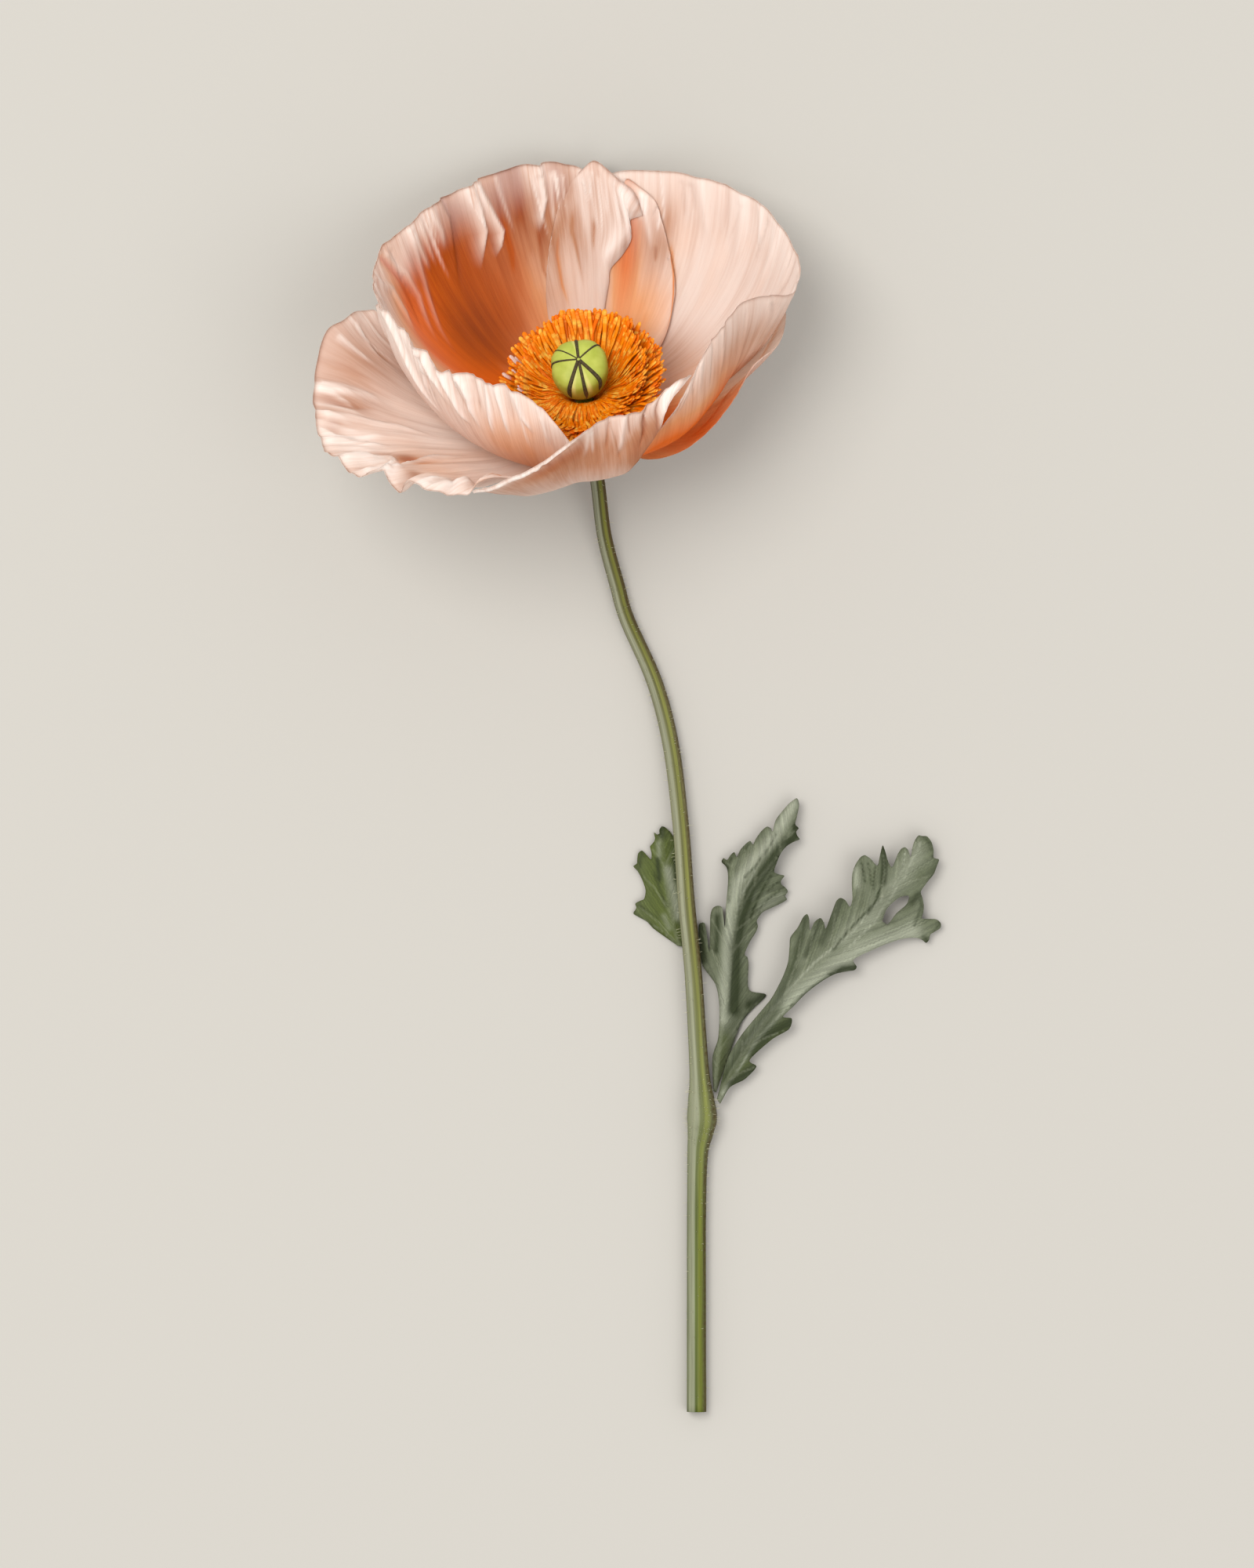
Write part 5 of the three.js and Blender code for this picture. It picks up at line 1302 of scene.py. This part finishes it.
# Where each leaf is lighter, darker or more yellow, by tone: half width, strength and a line (X, Y).
# The dark strokes are partly dark lines and partly painted shade on slopes that face away and inside curled
# lobes.
# The light strokes are partly pale veins and partly painted light on slopes that face the key lamp.
LEAF_TONES = {
    "leaf_right": {
        "light": [
            (2.4, 0.9, [(33, -44.5), (40, -39), (47, -34.2), (58, -30.4)]),
            (2, 0.5, [(44, -32), (50, -27), (55, -20), (59, -14)]),
            (0.3, 0.9, [(19.5, -63), (27, -51.5), (36, -42), (44, -36.5)]),
            (0.25, 0.9, [(24, -53), (31, -44), (38, -36.5), (46, -30), (52, -23)]),
            (0.25, 0.9, [(42.2, -36.2), (50, -28.4), (56.4, -19), (59.8, -12)]),
            (0.2, 0.8, [(54, -21), (56.2, -17), (56.6, -14)]),
            (0.8, 0.7, [(46.6, -17.6), (46.8, -20.6)]),
        ],
        "darker_and_painted_shade": [
            (1.3, 0.8, [(20, -60), (24, -53), (30, -45.5), (33.6, -38)]),
            (0.7, 0.9, [(36.4, -27.4), (35, -33), (33.4, -38.6)]),
            (0.6, 0.8, [(39.3, -28), (37.6, -32), (36.4, -35)]),
            (1.1, 0.7, [(43.4, -24), (41.6, -28), (39.6, -32)]),
            (0.22, 1.1, [(41.9, -33.8), (44.8, -30.2), (47.4, -27.4), (50.3, -24.4), (51.8, -20.5)]),
            (0.3, 0.9, [(49, -26.5), (51, -23.4), (52.4, -19)]),
            (0.8, 1.2, [(52.1, -12.6), (52.4, -16.5), (52.1, -20)]),
            (0.18, 0.9, [(47.8, -16), (48.5, -20)]),
            (0.18, 0.9, [(49.1, -16), (49.8, -20.5)]),
            (0.2, 0.8, [(50.4, -17), (50.2, -21.5)]),
            (1.8, 1, [(34, -48), (29, -51), (26, -55)]),
            (0.8, 1.2, [(46.8, -37.4), (44, -37.7), (41.6, -38.9)]),
            (0.4, 1, [(41.6, -38.8), (37, -42), (33.4, -45.4)]),
            (1.8, 1, [(26, -58), (21.5, -61)]),
            (0.8, 0.8, [(58.2, -24), (59.4, -22.4)]),
            (0.3, 0.7, [(58.6, -28.8), (60, -25), (59.6, -23)]),
            (0.7, 1, [(61.2, -32.2), (60.6, -31.4)]),
            (0.4, 0.7, [(63.8, -28.2), (62.8, -30)]),
            (0.3, 0.7, [(60.4, -10.6), (61.8, -12.4), (62.4, -15)]),
            (0.9, 0.5, [(63, -16.2), (62, -18.6)]),
        ],
        "yellow": [
            (1.5, 0.7, [(21, -60), (30, -52), (34, -46)]),
        ],
    },
    "leaf_middle": {
        "light": [
            (1.3, 1, [
                (19.4, -48), (20.5, -36), (21.1, -26), (22.6, -20), (26, -15.4), (30, -11), (33.8, -4),
            ]),
            (0.25, 1.1, [(20.9, -40), (21.6, -30), (22.8, -24), (26.2, -17.2), (29.2, -12), (32.6, -7.4)]),
            (0.3, 0.6, [(29.4, -16.4), (26.6, -20.6), (25.4, -23.6)]),
            (1, 0.4, [(27.6, -25), (31.4, -22.8)]),
        ],
        "darker_and_painted_shade": [
            (0.2, 0.9, [(24, -19), (26.6, -16.2), (29, -12.6), (30.6, -9.6)]),
            (1.3, 1.3, [
                (21.8, -46), (22.2, -33), (23.4, -26.8), (25.1, -22), (27.4, -18.6), (30, -15), (32.5, -12),
            ]),
            (0.7, 1.5, [(32.4, -12), (34.4, -10.8), (34.4, -8.6)]),
            (0.3, 1.1, [(30, -17.6), (26.6, -23.4), (25.1, -27.4)]),
            (0.18, 0.8, [(32, -21), (28.6, -23.6), (26.4, -26)]),
            (0.18, 0.8, [(31.4, -19.4), (28.4, -22)]),
            (0.7, 1, [(18.4, -27), (18.4, -31), (18.2, -34)]),
            (0.9, 1, [(15.2, -29), (15.6, -36)]),
            (1, 1, [(25, -45), (28, -43)]),
            (0.5, 1.2, [(19.3, -15.9), (20.4, -17.2)]),
            (0.35, 0.9, [(21.8, -14.2), (21, -16)]),
            (0.2, 0.8, [(25, -11.9), (24, -14)]),
            (0.3, 0.6, [(20.6, -19), (20.8, -24)]),
        ],
        "yellow": [
            (1.4, 0.5, [(19, -60), (20, -52)]),
        ],
    },
    "leaf_left": {
        "yellow": [
            (8, 1, [(8, -30), (6, -12)]),
        ],
        "light": [
            (1, 0.8, [(8.4, -17.6), (9.4, -22), (10.4, -27)]),
            (0.5, 0.5, [(6.4, -12), (6.6, -14.6)]),
            (0.6, 0.4, [(7.6, -27), (8.6, -29.4)]),
        ],
        "darker_and_painted_shade": [
            (1, 1, [(7.1, -8.6), (7, -10.4)]),
            (0.6, 1, [(6.2, -15.4), (6.6, -19.4)]),
            (0.4, 0.9, [(9.6, -15.2), (10, -19.6)]),
            (0.3, 0.7, [(5.4, -18), (8, -25)]),
            (0.3, 0.5, [(2.6, -24.8), (6.6, -27.6)]),
            (0.3, 0.7, [(1.5, -26.2), (6, -29.6), (10, -32.6)]),
            (0.5, 0.7, [(3, -14), (2.4, -17)]),
        ],
    },
}


def rounded(points, steps=5):
    """One side of an outline: a curve through the points that rounds the lobes a little."""
    points = np.asarray(points, float)
    slope = np.gradient(points, axis=0) * OUTLINE_TENSION
    t = np.linspace(0, 1, steps, endpoint=False)[:, None]
    pieces = [
        hermite(points[i], points[i + 1], slope[i], slope[i + 1], t)
        for i in range(len(points) - 1)
    ]
    return np.concatenate(pieces + [points[-1:]])


def leaf(row, number, material):
    midrib = smooth_line(row["midrib"], 12)
    left = rounded(row["left"] + [row["midrib"][-1][:2]])
    right = rounded(row["right"] + [row["midrib"][-1][:2]])
    outline = np.concatenate([left, right[::-1][1:]])
    low, high = outline.min(axis=0), outline.max(axis=0)
    random = np.random.default_rng(50 + number)
    gx, gy = np.meshgrid(
        np.arange(low[0], high[0], LEAF_GRAIN), np.arange(low[1], high[1], LEAF_GRAIN * GRAIN_ROWS)
    )
    gx = gx + (np.arange(gx.shape[0]) % 2)[:, None] * LEAF_GRAIN / 2
    jitter = random.uniform(-GRAIN_JITTER, GRAIN_JITTER, (gx.size, 2))
    inner = np.stack([gx.ravel(), gy.ravel()], axis=1) + jitter
    gap = np.min(np.linalg.norm(inner[:, None] - outline[None], axis=2), axis=1)
    inner = inner[(gap > OUTLINE_GAP) & inside_outline(inner, outline)]
    slit = np.zeros((0, 2))
    if row["name"] == "leaf_right":
        slit = rounded(SLIT + SLIT[:1], steps=4)[:-1]
        inner = inner[np.min(np.linalg.norm(inner[:, None] - slit[None], axis=2), axis=1) > SLIT_GAP]
    count = len(outline)
    edges = [(count + i, count + (i + 1) % len(slit)) for i in range(len(slit))]
    flat = np.concatenate([outline, slit, inner])
    found = geometry.delaunay_2d_cdt(
        [Vector(p) for p in flat.tolist()], edges, [list(range(count))], 1, 1e-5
    )
    flat = np.array([list(v) for v in found[0]])
    triangles = [list(f) for f in found[2]]
    if len(slit):
        centres = np.array([flat[f].mean(axis=0) for f in triangles])
        hole = inside_outline(centres, slit)
        triangles = [f for f, h in zip(triangles, hole) if not h]
    used = sorted({v for f in triangles for v in f})
    renumber = {v: i for i, v in enumerate(used)}
    triangles = [[renumber[v] for v in f] for f in triangles]
    flat = flat[used]
    place, distance, side, vein = leaf_places(flat, midrib, row)
    height = leaf_height(place, distance, side, vein, midrib, row)
    if len(slit):
        x, y, around, depth = SLIT_DIP
        dip = depth * bump_at(np.hypot(flat[:, 0] - x, flat[:, 1] - y), 0, around)
        height = np.maximum(height - dip, LOWEST_DIP)
    middle = np.column_stack([flat, height])
    thicker = MIDRIB_SWELL * np.exp(-((distance / MIDRIB_REACH) ** 2)) * (1 - place)
    half = LEAF_THICKNESS / 2 * (1 + thicker)
    top = middle + np.outer(half, [0, 0, 1])
    bottom = middle - np.outer(half, [0, 0, 1])
    points = np.concatenate([top, bottom])
    points[:, 2] = np.maximum(points[:, 2], LEAF_LEAST)
    size = len(middle)
    faces = triangles + [[a + size, c + size, b + size] for a, b, c in triangles]
    smooth = len(faces)
    border = dict.fromkeys(pair for a, b, c in triangles for pair in ((a, b), (b, c), (c, a)))
    for start, end in border:
        if (end, start) not in border:
            faces.append([end, start, start + size, end + size])
    tones = {}
    for tone, strokes in LEAF_TONES[row["name"]].items():
        tones[tone] = 0 * place
        for width, strength, line in strokes:
            near = to_line(flat, np.array(line, float))
            tones[tone] = np.maximum(tones[tone], strength * np.exp(-((near / width) ** 2)))
    length = np.linalg.norm(np.diff(midrib[:, :2], axis=0), axis=1).sum()
    apart = 0 * place + LEAF_SHEET_GAP * number
    flow = np.column_stack([side * (place * length - VEIN_RUN * distance), distance, apart])
    both_sides = {"vein": vein, "flow": flow, **tones}
    add_piece(
        row["name"] + "_blade", points, faces, material, "leaf", [row["name"]], smooth,
        under=np.repeat([0.0, 1.0], size), sheet=points + [0, 0, LEAF_SHEET_GAP * number],
        **{key: np.concatenate([values, values]) for key, values in both_sides.items()},
    )


def inside_outline(points, outline):
    inside = np.zeros(len(points), bool)
    x, y = points[:, 0], points[:, 1]
    for (x0, y0), (x1, y1) in zip(outline, np.roll(outline, -1, axis=0)):
        crosses = (y0 > y) != (y1 > y)
        at = x0 + (y - y0) * (x1 - x0) / (y1 - y0 if y1 != y0 else 1e-9)
        inside ^= crosses & (x < at)
    return inside


def to_segments(points, starts, ends):
    """The distance from each point to the nearest of some segments."""
    step = ends - starts
    offset = points[:, None] - starts[None]
    t = np.clip((offset * step).sum(axis=2) / np.maximum((step**2).sum(axis=1), 1e-9), 0, 1)
    return np.linalg.norm(offset - t[..., None] * step, axis=2)


def to_line(points, line):
    return to_segments(points, line[:-1], line[1:]).min(axis=1)


def leaf_places(flat, midrib, row):
    """Each point's place along the midrib, distance from it, side of it, and nearness to a vein."""
    spine = midrib[:, :2]
    offset = np.linalg.norm(flat[:, None] - spine[None], axis=2)
    nearest = offset.argmin(axis=1)
    distance = offset.min(axis=1)
    direction = np.gradient(spine, axis=0)[nearest]
    step = flat - spine[nearest]
    side = np.sign(direction[:, 0] * step[:, 1] - direction[:, 1] * step[:, 0])
    length = np.concatenate([[0], np.cumsum(np.linalg.norm(np.diff(spine, axis=0), axis=1))])
    starts = []
    ends = []
    for name in ("left", "right"):
        tips = np.asarray(row[name], float)
        reach = np.linalg.norm(tips[:, None] - spine[None], axis=2)
        how_far = reach.min(axis=1)
        at = length[reach.argmin(axis=1)]
        for i in range(1, len(tips) - 1):
            if how_far[i] > how_far[i - 1] and how_far[i] > how_far[i + 1]:
                foot = np.interp(at[i] - VEIN_SLANT * how_far[i], length, np.arange(len(length)))
                root = spine[int(max(foot, 0))]
                bend = mix(root, tips[i], 0.55) + 0.12 * (spine[reach[i].argmin()] - tips[i])
                starts += [root, bend]
                ends += [bend, mix(bend, tips[i], 0.85)]
    near_vein = to_segments(flat, np.array(starts), np.array(ends)).min(axis=1)
    near_vein = np.exp(-((near_vein / VEIN_WIDTH) ** 2))
    near_midrib = np.exp(-((to_line(flat, spine) / MIDRIB_WIDTH) ** 2))
    place = length[nearest] / length[-1]
    vein = np.maximum(near_vein * (1 - 0.5 * smoothstep(2, 9, distance)), near_midrib * (1 - 0.5 * place))
    return place, distance, side, vein


def leaf_height(place, distance, side, vein, midrib, row):
    spine_place = np.linspace(0, 1, len(midrib))
    rise = np.interp(np.clip(place - 0.012 * distance, 0, 1), spine_place, midrib[:, 2])
    slope = np.where(side > 0, row["left_slope"], row["right_slope"])
    height = rise - slope * distance
    swell = 0.35 * soft_noise(place * 9, side * 3 + distance / 5, 60) * smoothstep(1, 5, distance)
    ribs = -0.14 * vein * smoothstep(0.4, 1.5, distance)
    furrows = 0.12 * soft_noise(side * (place * 60 - VEIN_RUN * distance) / 1.3, distance / 9, 71)
    return np.maximum(height + swell + ribs + furrows, LEAF_THICKNESS / 2 + LEAF_FLOOR)


def leaf_material():
    shader = Shader("leaf")
    green = colour(84, 90, 68)
    light = colour(112, 117, 98)
    deep = colour(38, 46, 22)
    flow = shader.node("ShaderNodeAttribute", {}, attribute_name="flow").outputs["Vector"]
    lines = shader.noise(shader.scaled(flow, (1.5, 0.12, 1.0)), detail=3, roughness=0.6)
    mottle = shader.noise(shader.sheet((0.3, 0.3, 0.3)), detail=3, roughness=0.5)
    base = shader.blend(shader.between(mottle, 0.3, 0.7, 0.0, 0.5), green, light)
    base = shader.blend(shader.attribute("yellow"), base, colour(76, 86, 38))
    # Light strokes: pale veins and painted light. Dark strokes: dark lines and painted shade.
    for name, low, strength, tint in (
        ("light", 0.0, 0.85, colour(148, 152, 134)),
        ("darker_and_painted_shade", 0.0, 0.9, deep),
        ("under", 0.0, 0.5, deep),
        ("vein", 0.3, 0.2, colour(158, 162, 138)),
    ):
        base = shader.blend(shader.between(shader.attribute(name), low, 1.0, 0.0, strength), base, tint)
    grain = shader.noise(shader.sheet((4.5, 4.5, 4.5)), detail=3, roughness=0.7)
    line_shade = shader.between(lines, 0.32, 0.68, 0.68, 1.16)
    base = shader.shaded(base, shader.times(line_shade, shader.between(grain, 0.3, 0.7, 0.9, 1.08)))
    normal = shader.bump(shader.math("ADD", lines, shader.times(grain, 0.3)), 0.2, 0.6)
    sockets = {"Base Color": base, "Roughness": 0.6, "Specular IOR Level": 0.15, "Normal": normal}
    return shader.finish(sockets, glow=0.08)


# ---- Floor, light and camera
FLOOR_COLOUR = colour(169, 166, 160)
FLOOR_SIZE = 3.0  # metres from its middle to its edge
LIGHTS_AIM = (0.0, 0.03, 0.0)
WORLD_COLOUR = (1.0, 0.99, 0.975, 1.0)
WORLD_STRENGTH = 0.96


def floor():
    mesh = bpy.data.meshes.new("floor")
    corners = [(x * FLOOR_SIZE, y * FLOOR_SIZE, 0) for x, y in ((-1, -1), (1, -1), (1, 1), (-1, 1))]
    mesh.from_pydata(corners, [], [(0, 1, 2, 3)])
    shader = Shader("floor")
    sockets = {"Base Color": FLOOR_COLOUR, "Roughness": 1.0, "Specular IOR Level": 0.0}
    mesh.materials.append(shader.finish(sockets))
    piece = bpy.data.objects.new("floor", mesh)
    bpy.context.scene.collection.objects.link(piece)


def area_light(name, place, size, power, tint=(1.0, 1.0, 1.0)):
    light = bpy.data.lights.new(name, "AREA")
    light.shape = "DISK"
    light.size = size
    light.energy = power
    light.color = tint
    lamp = bpy.data.objects.new(name, light)
    lamp.location = place
    lamp.rotation_euler = (Vector(LIGHTS_AIM) - Vector(place)).to_track_quat("-Z", "Y").to_euler()
    bpy.context.scene.collection.objects.link(lamp)


def camera():
    view = bpy.data.cameras.new("camera")
    view.lens = LENS
    view.sensor_width = SENSOR
    view.clip_end = 20.0
    eye = bpy.data.objects.new("camera", view)
    eye.location = (0.0, 0.0, PICTURE_HEIGHT * MM * LENS / SENSOR)
    bpy.context.scene.collection.objects.link(eye)
    bpy.context.scene.camera = eye


camera()
floor()
world = bpy.data.worlds.new("studio")
bpy.context.scene.world = world
world.use_nodes = True
background = world.node_tree.nodes["Background"]
background.inputs["Color"].default_value = WORLD_COLOUR
background.inputs["Strength"].default_value = WORLD_STRENGTH
area_light("key", (-0.7, 0.5, 2.1), 1.3, 38.0, (1.0, 0.985, 0.96))
area_light("fill", (0.9, -0.8, 1.9), 1.8, 17.0)
bpy.context.scene.view_settings.view_transform = "Standard"

skin = petal_material("petal", PETAL_GLOW)
thin_skin = petal_material("outer_petal", OUTER_PETAL_GLOW)
for number, row in enumerate(PETALS):
    petal_piece(row, number, thin_skin if row["name"] == "petal_right_outer" else skin)
stamens(stamen_material())
capsule(capsule_material(), ray_material())
stem(stem_material(), hair_material())
blade = leaf_material()
for number, row in enumerate(LEAVES):
    leaf(row, number, blade)
